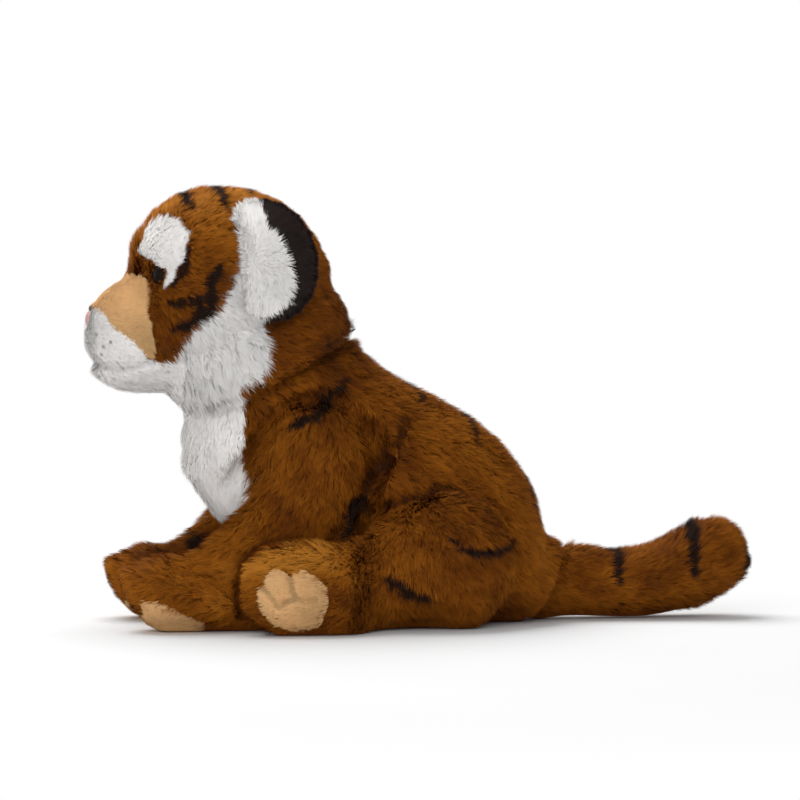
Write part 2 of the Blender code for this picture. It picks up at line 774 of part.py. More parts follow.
def ear_centre():
    across, along, up = EAR_PLACE_SHARES
    return head_point((along, up), across * HEAD_WIDTH)


def ear_turn():
    """The ear's own frame: X backwards along its width, Y up along its height, Z out of its white face."""
    out = EAR_AIM.normalized()
    back = Vector((0.0, 1.0, 0.0))
    back = (back - out * back.dot(out)).normalized()
    up = out.cross(back)
    frame = Matrix((back, up, out)).transposed().to_4x4()
    return frame @ Matrix.Rotation(EAR_TILT, 4, "Z")


def ear_seam():
    """Frame on the ear's fold, with its Y axis along it."""
    fold = ear_turn()
    spot = ear_centre() + fold.to_3x3() @ Vector((EAR_SEAM_SHARE * EAR_WIDTH, 0.0, 0.0))
    return Matrix.Translation(spot) @ fold


def ear_pieces():
    """Each ear: a black back that wraps the rim, and a white lining let into its face."""
    centre, turn = ear_centre(), ear_turn()
    size = Vector((EAR_WIDTH, EAR_HEIGHT, EAR_THICKNESS))
    flap = ball(centre, size, OUTER_SIDES, 0.0, turn)
    seam = ear_seam()
    for angle in EAR_FOLDS_DEG:
        # What the head takes from the ear as the ear folds about its seam
        head_room = head_form(OUTER_SIDES, -SEAM_GAP)
        fold = Matrix.Rotation(math.radians(angle), 4, "Y")
        head_room.data.transform(seam @ fold @ seam.inverted())
        cut(flap, head_room)
        without_scraps(flap)
        discard(head_room)
    shift = Vector(a * b for a, b in zip(EAR_LINING_SHIFT_SHARES, size))
    lining_centre = centre + turn.to_3x3() @ shift
    lining_size = Vector(a * b for a, b in zip(EAR_LINING_SIZE_SHARES, size))
    room = ball(lining_centre, lining_size, OUTER_SIDES, 0.0, turn)
    body = ball(lining_centre, lining_size, OUTER_SIDES, SEAM_GAP, turn)
    lining = copy_of(flap)
    combine(lining, body, "INTERSECT")
    cut(flap, room)
    on_both_sides(flap, "ear_back", "black_plush", seam.translation)
    on_both_sides(lining, "ear_lining", "white_plush", seam.translation)
    discard(room, body)


# Forelegs

# Front y and z, back y and z of each slice from the shoulder, then its inner and outer face.
# y and z are shares of the reach and of the shoulder's height, the faces of the sewn face's x and of
# the leg's outer x.
FORELEG_SLICE_SHARES = (
    (-0.270, 0.180, 0.270, 0.180, 0.3, 0.96),
    (-0.343, 0.000, 0.343, 0.000, 0.0, 1.0),
    (-0.360, -0.150, 0.310, -0.150, 0.0, 1.0),
    (-0.400, -0.350, 0.235, -0.370, 1.02, 1.0),
    (-0.545, -0.490, 0.165, -0.680, 1.02, 1.0),
    (-0.715, -0.580, -0.080, -0.985, 1.00, 1.0),
    (-0.840, -0.600, -0.520, -1.005, 0.62, 1.10),
    (-0.935, -0.640, -0.800, -1.005, 0.72, 1.06),
)
FORELEG_TIP_SHARES = (-1.0, -0.80)
SHOULDER_TOP_SHARE = 0.92
FOREPAW_START_SHARE = 0.66  # of the reach, ahead of the shoulder
FOREPAW_PAD_SHARES = (
    (-0.975, -0.83), (-0.860, -0.815), (-0.720, -0.875), (-0.560, -0.945), (-0.50, -1.2), (-1.2, -1.2),
    (-1.2, -0.86),
)


def foreleg_point(shares):
    return (SHOULDER_Y + shares[0] * FORELEG_REACH, SHOULDER_Z * (1.0 + shares[1]))


def foreleg_form(sides, inset):
    """The leg and paw on the left. The shoulder runs on inwards, so that it can be cut flat at the seam."""
    slices = []
    for front_y, front_z, back_y, back_z, inner_share, outer_share in FORELEG_SLICE_SHARES:
        front = Vector((0.0, *foreleg_point((front_y, front_z))))
        back = Vector((0.0, *foreleg_point((back_y, back_z))))
        inner, outer = inner_share * FORELEG_INNER_X, outer_share * FORELEG_OUTER_X
        middle = X_AXIS * (inner + outer) / 2.0
        slices.append(((front + back) / 2.0 + middle, (back - front) / 2.0, (outer - inner) / 2.0))
    top = Vector((slices[0][0].x, SHOULDER_Y, SHOULDER_Z + SHOULDER_TOP_SHARE * SHOULDER_RADIUS))
    tip = Vector((slices[-1][0].x, *foreleg_point(FORELEG_TIP_SHARES)))
    return lie_flat(stuffed_form(slices, top, tip, sides, inset), inset)


def leg_pieces(build, pivot, front_y, pad_outline, pad_inner_x, label, pad_label):
    """Skin, stuffing and sole of a leg on both sides. The skin is open where it is sewn to the torso.

    Only what lies behind front_y is cut flat at the pivot's x; the paw ahead of it keeps its width.
    """
    torso_side = prism([(front_y, -FAR), (FAR, -FAR), (FAR, FAR), (front_y, FAR)], pivot.x, -FAR)
    skin = cut(build(OUTER_SIDES, 0.0), torso_side)
    room = build(INNER_SIDES, SKIN_THICKNESS)
    filling = cut(build(INNER_SIDES, SKIN_THICKNESS + SEAM_GAP), torso_side)
    cut(skin, room)
    pad = panel_from(skin, pad_outline, pad_inner_x, FAR)
    on_both_sides(skin, label + "_skin", "brown_plush", pivot)
    on_both_sides(filling, label + "_stuffing", "polyester_fill", pivot)
    on_both_sides(pad, pad_label, "tan_velour", pivot)
    discard(room, torso_side)


def foreleg_pieces():
    outline = [foreleg_point(shares) for shares in FOREPAW_PAD_SHARES]
    front_y = SHOULDER_Y - FOREPAW_START_SHARE * FORELEG_REACH
    shoulder = Vector((FORELEG_INNER_X, SHOULDER_Y, SHOULDER_Z))
    leg_pieces(foreleg_form, shoulder, front_y, outline, 0.0, "foreleg", "forepaw_pad")


# Hind legs

# Distance ahead of the hip, bottom, top, width: shares of the reach, the paw's height and its width
HINDPAW_SLICE_SHARES = (
    (0.955, 0.18, 0.82, 0.62),
    (0.870, 0.02, 0.96, 0.94),
    (0.720, -0.02, 1.00, 1.00),
    (0.570, -0.02, 0.97, 0.94),
    (0.455, -0.02, 0.97, 0.72),
)
# Distance ahead of the hip, outer face, inner edge: shares of the thigh's radius, of its outer x and of
# the sewn face's x
THIGH_SLICE_SHARES = (
    (0.84, 0.96, 1.14),
    (0.50, 1.0, 0.2),
    (0.05, 1.02, 0.2),
    (-0.40, 0.97, 0.2),
    (-0.78, 0.80, 0.2),
)
THIGH_ROUNDING_SHARE = 0.91  # height of the rearmost slice, of the disc's own there
THIGH_REAR_SHARE = 0.96
HINDPAW_TIP_SHARES = (0.55, 0.50)
PAD_PLACE_SHARES = (0.735, 0.42)


def hindpaw_inner_x():
    return FORELEG_OUTER_X + PAW_SPACING


def hindleg_form(sides, inset):
    """The leg on the left: the paw in front with its sole outwards, the thigh a disc about the hip."""
    slices = []
    inner = hindpaw_inner_x()
    for ahead, low, high, narrow in HINDPAW_SLICE_SHARES:
        half = Z_AXIS * (high - low) * HINDPAW_HEIGHT / 2.0
        middle = Z_AXIS * (high + low) * HINDPAW_HEIGHT / 2.0
        centre = Vector((inner + HINDPAW_WIDTH / 2.0, HIP_Y - ahead * HINDLEG_REACH, 0.0)) + middle
        slices.append((centre, half, narrow * HINDPAW_WIDTH / 2.0))
    for ahead, outer_share, inner_share in THIGH_SLICE_SHARES:
        high = math.sqrt(1.0 - ahead * ahead) * THIGH_RADIUS
        high *= THIGH_ROUNDING_SHARE if ahead == THIGH_SLICE_SHARES[-1][0] else 1.0
        low = min(HIP_Z, max(high, HIP_Z * 0.98)) if ahead > 0.0 else high
        outer, inside = THIGH_OUTER_X * outer_share, HINDLEG_INNER_X * inner_share
        centre = Vector(((outer + inside) / 2.0, HIP_Y - ahead * THIGH_RADIUS, HIP_Z + (high - low) / 2.0))
        slices.append((centre, Z_AXIS * (high + low) / 2.0, (outer - inside) / 2.0))
    across, up = HINDPAW_TIP_SHARES
    tip = Vector((inner + HINDPAW_WIDTH * across, HIP_Y - HINDLEG_REACH, HINDPAW_HEIGHT * up))
    rear = Vector((slices[-1][0].x, HIP_Y + THIGH_REAR_SHARE * THIGH_RADIUS, HIP_Z))
    return lie_flat(stuffed_form(slices, tip, rear, sides, inset), inset)


def hindleg_pieces():
    ahead, up = PAD_PLACE_SHARES
    middle_y, middle_z = HIP_Y - ahead * HINDLEG_REACH, up * HINDPAW_HEIGHT
    outline = []
    for k in range(16):
        a = math.tau * k / 16
        y = middle_y + math.cos(a) * HINDPAW_PAD_LENGTH / 2.0
        outline.append((y, middle_z + math.sin(a) * HINDPAW_PAD_HEIGHT / 2.0))
    pad_inner_x = hindpaw_inner_x() + HINDPAW_WIDTH / 2.0
    hip = Vector((HINDLEG_INNER_X, HIP_Y, HIP_Z))
    leg_pieces(hindleg_form, hip, -FAR, outline, pad_inner_x, "hindleg", "hindpaw_pad")


# Tail

# Distance from the root along the tail's length, then the height of the middle line and the half height
# as shares of the rise and of the tail's diameter, then the slant of the slice
TAIL_SLICE_SHARES = (
    (0.00, 0.00, 0.500, 0.0),
    (0.12, -0.05, 0.420, 0.0),
    (0.27, 0.00, 0.455, 4.0),
    (0.48, 0.03, 0.490, 12.0),
    (0.66, 0.24, 0.530, 26.0),
    (0.82, 0.70, 0.550, 26.0),
)
TAIL_TIP_SHARES = (1.01, 0.88)


def tail_root():
    return Vector((0.0, TAIL_ROOT_Y, TAIL_DIAMETER / 2.0 - SEAM_GAP))


def tail_form(sides, inset):
    """The tail from its round root, which turns in the rump like a ball, to its rising tip."""
    slices = []
    for along, rise, half_height, slant in TAIL_SLICE_SHARES:
        centre = tail_root() + Vector((0.0, along * TAIL_LENGTH, rise * TAIL_RISE))
        lean = math.radians(slant)
        radius = half_height * TAIL_DIAMETER
        slices.append((centre, Vector((0.0, -math.sin(lean), math.cos(lean))) * radius, radius))
    start = tail_root() - Vector((0.0, TAIL_DIAMETER / 2.0, 0.0))
    along, rise = TAIL_TIP_SHARES
    end = tail_root() + Vector((0.0, along * TAIL_LENGTH, rise * TAIL_RISE))
    return lie_flat(stuffed_form(slices, start, end, sides, inset), inset)


def tail_space():
    """Where the tail's round root turns in the rump."""
    return ball(tail_root(), (TAIL_DIAMETER,) * 3, NECK_SIDES, -2.0 * SEAM_GAP)


def tail_pieces():
    # The skin is open at the root, where it was turned right side out and filled.
    opening = tail_root() - Vector((0.0, TAIL_DIAMETER / 3.0, 0.0))
    ahead = Vector((0.0, -1.0, 0.0))
    skin = halved(tail_form(OUTER_SIDES, 0.0), opening, ahead)
    room = tail_form(INNER_SIDES, SKIN_THICKNESS)
    filling = halved(tail_form(INNER_SIDES, SKIN_THICKNESS + SEAM_GAP), opening, ahead)
    cut(skin, room)
    ended(skin, "tail_skin", "brown_plush", tail_root())
    ended(filling, "tail_stuffing", "polyester_fill", tail_root())
    discard(room)


def main():
    clear_scene()
    torso_pieces(tail_space())
    head_pieces()
    ear_pieces()
    foreleg_pieces()
    hindleg_pieces()
    tail_pieces()


main()
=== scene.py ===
"""Looks of the sitting plush tiger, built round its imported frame: stuffed cloth forms under a dense pile,
velour soles and muzzle, glossy eyes, a stitched nose, and the floor, lights and camera.

Metres, +Z up. The tiger faces -Y and its left side is +X.
"""

import json
import math
from typing import NamedTuple

import bmesh
import bpy
import numpy as np
from bpy.props import FloatProperty, FloatVectorProperty, IntProperty, PointerProperty
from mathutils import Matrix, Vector
from mathutils.bvhtree import BVHTree
from mathutils.kdtree import KDTree


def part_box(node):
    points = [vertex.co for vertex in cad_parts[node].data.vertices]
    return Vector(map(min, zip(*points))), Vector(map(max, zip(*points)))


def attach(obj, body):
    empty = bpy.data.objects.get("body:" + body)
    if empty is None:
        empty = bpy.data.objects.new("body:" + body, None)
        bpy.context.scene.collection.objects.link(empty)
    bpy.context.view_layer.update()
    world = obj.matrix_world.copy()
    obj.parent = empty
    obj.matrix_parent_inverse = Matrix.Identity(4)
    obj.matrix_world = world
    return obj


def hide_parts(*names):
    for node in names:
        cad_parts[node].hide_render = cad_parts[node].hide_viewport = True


bl_info = {
    "name": "Plush tiger looks",
    "version": (1, 0, 0),
    "blender": (4, 5, 0),
    "location": "3D View > Sidebar > Plush Tiger",
    "description": "Pile, soles, eyes, nose and studio of a sitting plush tiger",
    "category": "Add Mesh",
}

MM = 0.001
SIDES = (("left", 1.0), ("right", -1.0))

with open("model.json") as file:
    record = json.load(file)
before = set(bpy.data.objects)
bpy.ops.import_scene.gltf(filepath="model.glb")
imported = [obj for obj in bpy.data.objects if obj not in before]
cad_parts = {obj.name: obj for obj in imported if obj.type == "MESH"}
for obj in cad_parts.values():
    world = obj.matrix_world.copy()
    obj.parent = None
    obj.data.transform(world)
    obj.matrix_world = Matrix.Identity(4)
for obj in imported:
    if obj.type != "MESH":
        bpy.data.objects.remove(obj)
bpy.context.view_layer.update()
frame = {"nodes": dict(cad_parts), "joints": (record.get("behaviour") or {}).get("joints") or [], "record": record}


# Settings


def length_setting(name, text, size):
    """A length that can be changed in the panel."""
    return FloatProperty(name=name, description=text, default=size, unit="LENGTH")


def dye_setting(name, text, colour):
    """A dye that can be changed in the panel."""
    return FloatVectorProperty(name=name, description=text, default=colour, subtype="COLOR", size=3)


class PileSettings(bpy.types.PropertyGroup):
    """Lengths and density of the pile."""

    body_length: length_setting("Body pile", "Pile on the body and legs", 8.5 * MM)
    head_length: length_setting("Head pile", "Pile on the crown and brows", 7.0 * MM)
    ruff_length: length_setting("Ruff pile", "White pile on the cheeks", 12.0 * MM)
    chest_length: length_setting("Chest pile", "White pile on the chest", 10.0 * MM)
    ear_length: length_setting("Ear pile", "Pile on both faces of the ears", 7.0 * MM)
    velour_length: length_setting("Velour pile", "Short pile of muzzle, chin and soles", 2.6 * MM)
    strand_width: length_setting("Strand width", "Width of a strand at its root", 0.34 * MM)
    clump: length_setting("Tuft size", "Width of one tuft of pile", 3.8 * MM)
    density: FloatProperty(
        name="Density", description="Strands on each square millimetre", default=2.75, min=0.1
    )
    seed: IntProperty(name="Seed", description="Seed of the pile's chance", default=7)


class ColourSettings(bpy.types.PropertyGroup):
    """Dyes of the cloth and thread."""

    brown: dye_setting("Brown", "Main dye", (0.39, 0.121, 0.008))
    dark_brown: dye_setting("Dark brown", "Shaded dye", (0.17, 0.045, 0.003))
    # The palest brown: pale random patches and the painted light on the crown, upper back and hind paws go towards
    # it.
    light_brown: dye_setting("Light brown", "Palest dye and painted light", (0.59, 0.228, 0.026))
    stripe: dye_setting("Stripe", "Stripe dye", (0.018, 0.009, 0.006))
    white: dye_setting("White", "White pile", (0.95, 0.93, 0.91))
    tan: dye_setting("Tan", "Velour", (0.78, 0.47, 0.21))
    black: dye_setting("Black", "Ear backs", (0.016, 0.011, 0.010))
    pink: dye_setting("Pink", "Nose thread", (0.62, 0.34, 0.33))


class StudioSettings(bpy.types.PropertyGroup):
    """Camera and light."""

    azimuth: FloatProperty(
        name="Azimuth", description="Camera's bearing", default=math.radians(81.0), subtype="ANGLE"
    )
    elevation: FloatProperty(
        name="Elevation", description="Camera's height angle", default=math.radians(3.2), subtype="ANGLE"
    )
    distance: length_setting("Distance", "Camera to the tiger", 3.0)
    framed: length_setting("Frame width", "Width seen at the tiger", 0.4185)
    aim: FloatVectorProperty(
        name="Aim", description="Middle of the picture", subtype="XYZ", size=3, default=(0.0, -0.018, 0.116)
    )
    key_power: FloatProperty(name="Key light", description="Power of the key light", default=26.0)
    fill_power: FloatProperty(name="Fill light", description="Power of the fill light", default=20.0)
    sky: FloatProperty(name="Sky", description="Strength of the light all round", default=0.53)


# Small helpers


def unit(a):
    """Each row made 1 long."""
    return a / np.maximum(np.linalg.norm(a, axis=-1, keepdims=True), 1e-12)


def rows_dot(a, b):
    """The dot product of each row with its partner, as a column."""
    return (a * b).sum(axis=-1, keepdims=True)


def eased(value, low, high):
    """0 at low, 1 at high, smooth between and level beyond them."""
    t = np.clip((value - low) / (high - low), 0.0, 1.0)
    return t * t * (3.0 - 2.0 * t)


def side_share(points, middle, reach):
    """1 round a middle in the side view, 0 beyond its reach, both in millimetres."""
    gap = np.hypot(points[:, 1] - middle[0] * MM, points[:, 2] - middle[1] * MM)
    return 1.0 - eased(gap, 0.2 * reach * MM, reach * MM)


def inward_share(points, normals):
    """How far each point faces the tiger's middle plane, from -1 to 1."""
    return -normals[:, 0] * np.sign(points[:, 0])


def is_one_of(node, starts):
    """Whether a node's name starts with one of the words of starts."""
    return node.startswith(tuple(starts.split()))


def modified(obj, kind, **values):
    """Adds a modifier and applies it."""
    bpy.ops.object.select_all(action="DESELECT")
    obj.select_set(True)
    bpy.context.view_layer.objects.active = obj
    modifier = obj.modifiers.new(kind.title(), kind)
    for name, value in values.items():
        setattr(modifier, name, value)
    bpy.ops.object.modifier_apply(modifier=modifier.name)


def moved_to(obj, points):
    """Puts the vertices of a mesh at these points."""
    obj.data.vertices.foreach_set("co", points.astype(np.float32).ravel())
    obj.data.update()
    return obj


def drop(obj):
    """Removes a helper object."""
    bpy.data.objects.remove(obj, do_unlink=True)


def joined_copy(nodes, name):
    """One object made of merged copies of these nodes."""
    bpy.ops.object.select_all(action="DESELECT")
    for node in nodes:
        piece = bpy.data.objects.new(name, frame["nodes"][node].data.copy())
        piece.data.materials.clear()
        bpy.context.scene.collection.objects.link(piece)
        piece.select_set(True)
        bpy.context.view_layer.objects.active = piece
    bpy.ops.object.join()
    whole = bpy.context.view_layer.objects.active
    shape = bmesh.new()
    shape.from_mesh(whole.data)
    bmesh.ops.remove_doubles(shape, verts=shape.verts, dist=MERGED)
    shape.to_mesh(whole.data)
    shape.free()
    whole.name = name
    return whole


# Rounded forms

MERGED = 0.02 * MM  # corners closer than this are one
MOST_SHRUNK = 2.5 * MM  # how far smoothing may have drawn a form in
CREASE_DEPTH = 3.4 * MM
SOLE_CREASE_SHARE = 0.8


def rounded_form(nodes, name, voxel, rounds, swell=0.0):
    """The nodes' common outside as one closed, softly rounded mesh, nowhere inside theirs."""
    whole = joined_copy(nodes, name)
    if swell:
        # Swollen while it is remeshed, which closes the seams between the pieces.
        modified(whole, "DISPLACE", strength=swell, mid_level=0.0, direction="NORMAL")
    modified(whole, "REMESH", mode="VOXEL", voxel_size=voxel)
    keep_outside(whole)
    if swell:
        modified(whole, "DISPLACE", strength=-swell, mid_level=0.0, direction="NORMAL")
    modified(whole, "SMOOTH", factor=0.5, iterations=rounds)
    return filled_out(whole, nodes)


def filled_out(whole, nodes):
    """Pushes a smoothed form back out to its nodes' own surface, and further where it is swollen."""
    cloth = Cloth(outer_nodes(nodes))
    shape = Form(whole)
    short = shape.blurred(np.clip(cloth.depths_at(shape.points), 0.0, MOST_SHRUNK), 3)
    for node, here in cloth.each(cloth.numbers_at(shape.points)):
        short[here] += swollen(node, shape.points[here], shape.normals[here])
    moved = shape.points + shape.normals * shape.blurred(short, 2)[:, None]
    return moved_to(whole, calmed(nodes, shape, pulled(nodes, moved)))


# Swell: the nodes, its middle in the side view in millimetres, reach, height, whether it is on top only
SWELLS = (
    ("head_skin", (-134, 217), 34, 1.7, False),
    ("head_skin muzzle_bridge", (-160, 186), 12, -1.8, False),
    ("head_skin", (-158, 200), 12, 0.6, False),
    ("head_skin", (-54, 181), 22, 1.0, False),
    ("muzzle_bridge", (-172, 176), 16, 1.8, True),
    ("chin", (-178, 128), 14, 1.4, False),
    ("chin whisker_pad", (-186, 136), 10, -2.6, False),
    ("torso_skin", (0, 118), 56, 0.5, True),
    ("torso_skin", (46, 84), 40, 2.2, False),
    ("torso_skin", (-16, 138), 26, -0.8, True),
    ("chest_panel", (-122, 84), 36, 2.5, False),
    ("chest_panel", (-118, 107), 20, 2.0, False),
    ("torso_skin chest_panel foreleg_skin", (-112, 58), 14, 1.8, False),
    ("foreleg_skin", (-160, 38), 24, 3.0, True),
    ("foreleg_skin", (-118, 54), 26, 3.0, True),
    ("foreleg_skin", (-143, 46), 17, 3.0, True),
    ("torso_skin tail_skin", (64, 41), 10, 3.2, False),
    ("tail_skin", (70, 42), 26, 5.6, True),
    ("tail_skin", (160, 52), 20, 3.6, True),
    ("tail_skin", (145, 11), 22, 2.0, False),
    ("tail_skin", (174, 31), 24, -0.8, False),
)

# Pull, for the open edge of a skin: the body, its middle in the side view, reach, how far the cloth moves
PULLS = (
    ("head", (-138, 108), 18, (2.4, 1.4)),
    ("head", (-42, 150), 14, (-0.5, 0.2)),
)

# Calm, where many small pieces meet: the body, a spot on both its sides in millimetres, reach, rounds
CALMED = (
    ("head", (28, -148, 199), 20, 14),
    ("head", (31, -149, 184), 9, 8),
    ("head", (20, -157, 189), 12, 10),
)


def calmed(nodes, shape, points):
    """The points with the uneven places of these nodes' cloth evened out."""
    bodies = {BODY_OF[node] for node in nodes}
    for body, spot, reach, rounds in CALMED:
        if body in bodies:
            folded = np.column_stack((np.abs(points[:, 0]), points[:, 1:]))
            gap = np.linalg.norm(folded - np.array(spot) * MM, axis=1)
            share = (1.0 - eased(gap, 0.5 * reach * MM, reach * MM))[:, None]
            even = np.stack([shape.blurred(points[:, k], rounds) for k in range(3)], axis=1)
            points = points + share * (even - points)
    return points


def pulled(nodes, points):
    """The points with the open edges of these nodes' skins pulled close."""
    bodies = {BODY_OF[node] for node in nodes}
    points = points.copy()
    for body, middle, reach, pull in PULLS:
        if body in bodies:
            points[:, 1:3] += side_share(points, middle, reach)[:, None] * np.array(pull) * MM
    return points


def swollen(node, points, normals):
    """How far the stuffing pushes a node's surface out."""
    height = np.zeros(len(points))
    for nodes, middle, reach, most, top_only in SWELLS:
        if is_one_of(node, nodes):
            share = side_share(points, middle, reach)
            if top_only:
                share = share * eased(normals[:, 2], 0.0, 0.6)
            height += most * MM * share
    return height


def keep_outside(obj):
    """Leaves only the largest closed surface of a mesh."""
    shape = Form(obj)
    island = np.arange(len(shape.points))
    while True:
        low = np.minimum(island[shape.edges[:, 0]], island[shape.edges[:, 1]])
        new = island.copy()
        np.minimum.at(new, shape.edges[:, 0], low)
        np.minimum.at(new, shape.edges[:, 1], low)
        new = new[new]
        if (new == island).all():
            break
        island = new
    main = np.bincount(island).argmax()
    if (island == main).all():
        return
    whole = bmesh.new()
    whole.from_mesh(obj.data)
    extra = [vertex for vertex, number in zip(whole.verts, island) if number != main]
    bmesh.ops.delete(whole, geom=extra, context="VERTS")
    whole.to_mesh(obj.data)
    whole.free()


def carve(form, nodes):
    """Sinks the sewn creases into a rounded form."""
    cloth = Cloth(outer_nodes(nodes))
    shape = Form(form)
    sunk = np.zeros(len(shape.points))
    for node, here in cloth.each(cloth.numbers_at(shape.points)):
        deepest = CREASE_DEPTH * (SOLE_CREASE_SHARE if pelt_of(node) == "sole" else 1.0)
        sunk[here] = crease_depth(node, shape.points[here]) * deepest
    return moved_to(form, shape.points - shape.normals * shape.blurred(sunk, 1)[:, None])


def read(items, field, width, kind):
    """A field of a mesh's items as an array, a row for each item."""
    values = np.empty(len(items) * width, dtype=kind)
    items.foreach_get(field, values)
    return values.reshape(-1, width)


class Form:
    """A mesh as arrays: points, vertex normals and triangles."""

    def __init__(self, obj):
        mesh = obj.data
        mesh.calc_loop_triangles()
        self.points = read(mesh.vertices, "co", 3, float)
        self.normals = np.array([tuple(n.vector) for n in mesh.vertex_normals])
        self.triangles = read(mesh.loop_triangles, "vertices", 3, np.int64)
        self.edges = read(mesh.edges, "vertices", 2, np.int64)

    def blurred(self, values, rounds):
        """Evens a value per vertex out along the edges."""
        count = np.bincount(self.edges.ravel(), minlength=len(self.points)) + 1.0
        a, b = self.edges.T
        for _ in range(rounds):
            total = values.copy()
            np.add.at(total, a, values[b])
            np.add.at(total, b, values[a])
            values = total / count
        return values

    def tree(self):
        return BVHTree.FromPolygons(self.points.tolist(), self.triangles.tolist())


# What grows where

BODY_OF = {node: body for body, nodes in frame["record"]["behaviour"]["bodies"].items() for node in nodes}


class Pelt(NamedTuple):
    """One kind of pile."""

    nodes: str  # how the names of the nodes that it grows on start
    length_setting: str
    length_share: float
    lift: float  # from the cloth, in degrees
    width_share: float
    density_share: float
    finish: str
    unrest: float  # how far its tufts turn and lean apart
    tone: float  # 0 is the stripe's dye, 0.35 dark, 0.65 the main dye and 1 the palest dye, which painted light reaches
    patchiness: float


# The white pelts' tones are set lower on the ruff, ear lining, whisker pad and chin than on the brow and chest,
# which paints in the shade those places are in.
PELTS = {
    "body": Pelt(
        "torso_skin foreleg_skin hindleg_skin tail_skin",
        "body_length", 1.0, 42.0, 1.0, 1.0, "brown_plush", 0.62, 0.58, 1.0,
    ),
    "crown": Pelt("head_skin", "head_length", 1.0, 38.0, 0.95, 1.1, "brown_plush", 0.52, 0.43, 1.0),
    "brow": Pelt("brow_patch", "head_length", 0.85, 30.0, 1.1, 2.1, "white_plush", 0.18, 0.74, 0.5),
    "ruff": Pelt("cheek_ruff", "ruff_length", 0.9, 33.0, 1.1, 1.4, "white_plush", 0.56, 0.45, 0.5),
    "chest": Pelt("chest_panel", "chest_length", 0.9, 30.0, 1.1, 1.4, "white_plush", 0.3, 0.74, 0.5),
    "whisker": Pelt("whisker_pad", "velour_length", 1.0, 26.0, 0.9, 2.4, "white_plush", 0.16, 0.56, 0.5),
    "chin": Pelt("chin", "velour_length", 1.9, 28.0, 1.0, 1.8, "white_plush", 0.34, 0.58, 0.5),
    "bridge": Pelt("muzzle_bridge", "velour_length", 0.9, 22.0, 0.9, 2.8, "tan_velour", 0.12, 0.66, 0.6),
    "sole": Pelt(
        "forepaw_pad hindpaw_pad",
        "velour_length", 1.1, 28.0, 0.8, 2.6, "tan_velour", 0.3, 0.62, 1.0,
    ),
    "ear_rim": Pelt("ear_back", "ear_length", 0.7, 26.0, 1.0, 1.8, "black_plush", 0.4, 0.74, 0.5),
    "ear_inside": Pelt("ear_lining", "ear_length", 0.85, 28.0, 1.0, 1.9, "white_plush", 0.26, 0.49, 0.5),
}
PELT_NAME = "<U12"  # room for the longest of these names in an array

# Outlines in the side view in millimetres, where the cloth changes away from a piece's own edge
BRIDGE_TOP = (
    (-172, 204), (-148, 204), (-148, 176), (-151, 177), (-154, 180.4), (-157, 182), (-163, 182.5),
    (-172, 186),
)
BROW = (
    (-143.5, 212), (-149.5, 211), (-154.8, 206), (-156.5, 200), (-158, 193.5), (-154, 190), (-151, 187.5),
    (-148.5, 187), (-147.5, 184.5), (-148.6, 180.5), (-149.2, 177), (-146.6, 179.4), (-143.6, 184),
    (-141.4, 188.6), (-139.9, 192.2), (-138, 198.5), (-136.2, 205), (-138.4, 208.5), (-141, 211),
)
TAN_CORNER = ((-157, 168), (-152.5, 158), (-151, 150), (-151, 141), (-157, 141))
FORE_SOLE = (
    (-160, 22.5), (-156, 23), (-152.5, 21.5), (-149, 17), (-144.4, 13.3), (-138.8, 9.5), (-132.6, 6.5),
    (-127, 4.5), (-127, -2), (-158, -2), (-158.5, 12),
)
RUFF_HEEL = (
    (-84, 162), (-84, 76), (-110, 76), (-111, 127), (-103, 132), (-97, 138), (-95.5, 146), (-97, 152),
    (-100, 162),
)
LINING = (
    (-118, 232), (-98, 227), (-96, 213), (-95.5, 207), (-90.5, 202), (-86.5, 195), (-84, 186), (-83, 177),
    (-87, 171), (-92, 167), (-98, 163), (-118, 158),
)
SOLE = (
    (-104.7, 22.5), (-103.5, 26), (-99.9, 27), (-99.4, 32.6), (-95.4, 35.6), (-89.9, 34.6), (-86.8, 31),
    (-84.8, 33), (-79.7, 34), (-73.1, 31), (-68.7, 25.3), (-68.2, 19.2), (-69.2, 12.2), (-71, 5.5),
    (-75.4, 3), (-88.3, 3.2), (-95.4, 5.4), (-99.4, 11.4), (-104, 17.5),
)
CHEST = (
    (-142, 128), (-108, 128), (-106, 104), (-104, 88), (-103, 78), (-104.5, 70), (-109, 62), (-116, 54),
    (-142, 40),
)
CHEST_EDGE = ((-114, 106), (-105, 106), (-104, 88), (-103, 78), (-104.5, 70), (-108, 66), (-114, 66))
EAR_FRONT = -97.0 * MM  # ahead of it, the whole ear is lining
CHEST_BACK = -90.0 * MM  # behind it, nothing is chest

# Region: the nodes it is on, its outline, the pelt inside it and outside it, None for the node's own
REGIONS = (
    ("muzzle_bridge", BRIDGE_TOP, "crown", None),
    ("head_skin", TAN_CORNER, "bridge", None),
    ("cheek_ruff", RUFF_HEEL, "crown", None),
    ("hindpaw_pad", SOLE, None, "body"),
    ("forepaw_pad", FORE_SOLE, None, "body"),
    ("head_skin muzzle_bridge", BROW, "brow", None),
    ("brow_patch", BROW, None, "crown"),
    ("ear_lining ear_back", LINING, "ear_inside", "ear_rim"),
    ("chest_panel torso_skin", CHEST, "chest", "body"),
    ("foreleg_skin", CHEST_EDGE, "chest", None),
)


def inside(outline, points):
    """Which points lie inside an outline drawn in the side view in millimetres."""
    y, z = points[:, 1] / MM, points[:, 2] / MM
    odd = np.zeros(len(points), bool)
    for (y0, z0), (y1, z1) in zip(outline, outline[1:] + outline[:1]):
        if z0 != z1:
            odd ^= ((z0 > z) != (z1 > z)) & (y < (y1 - y0) * (z - z0) / (z1 - z0) + y0)
    return odd


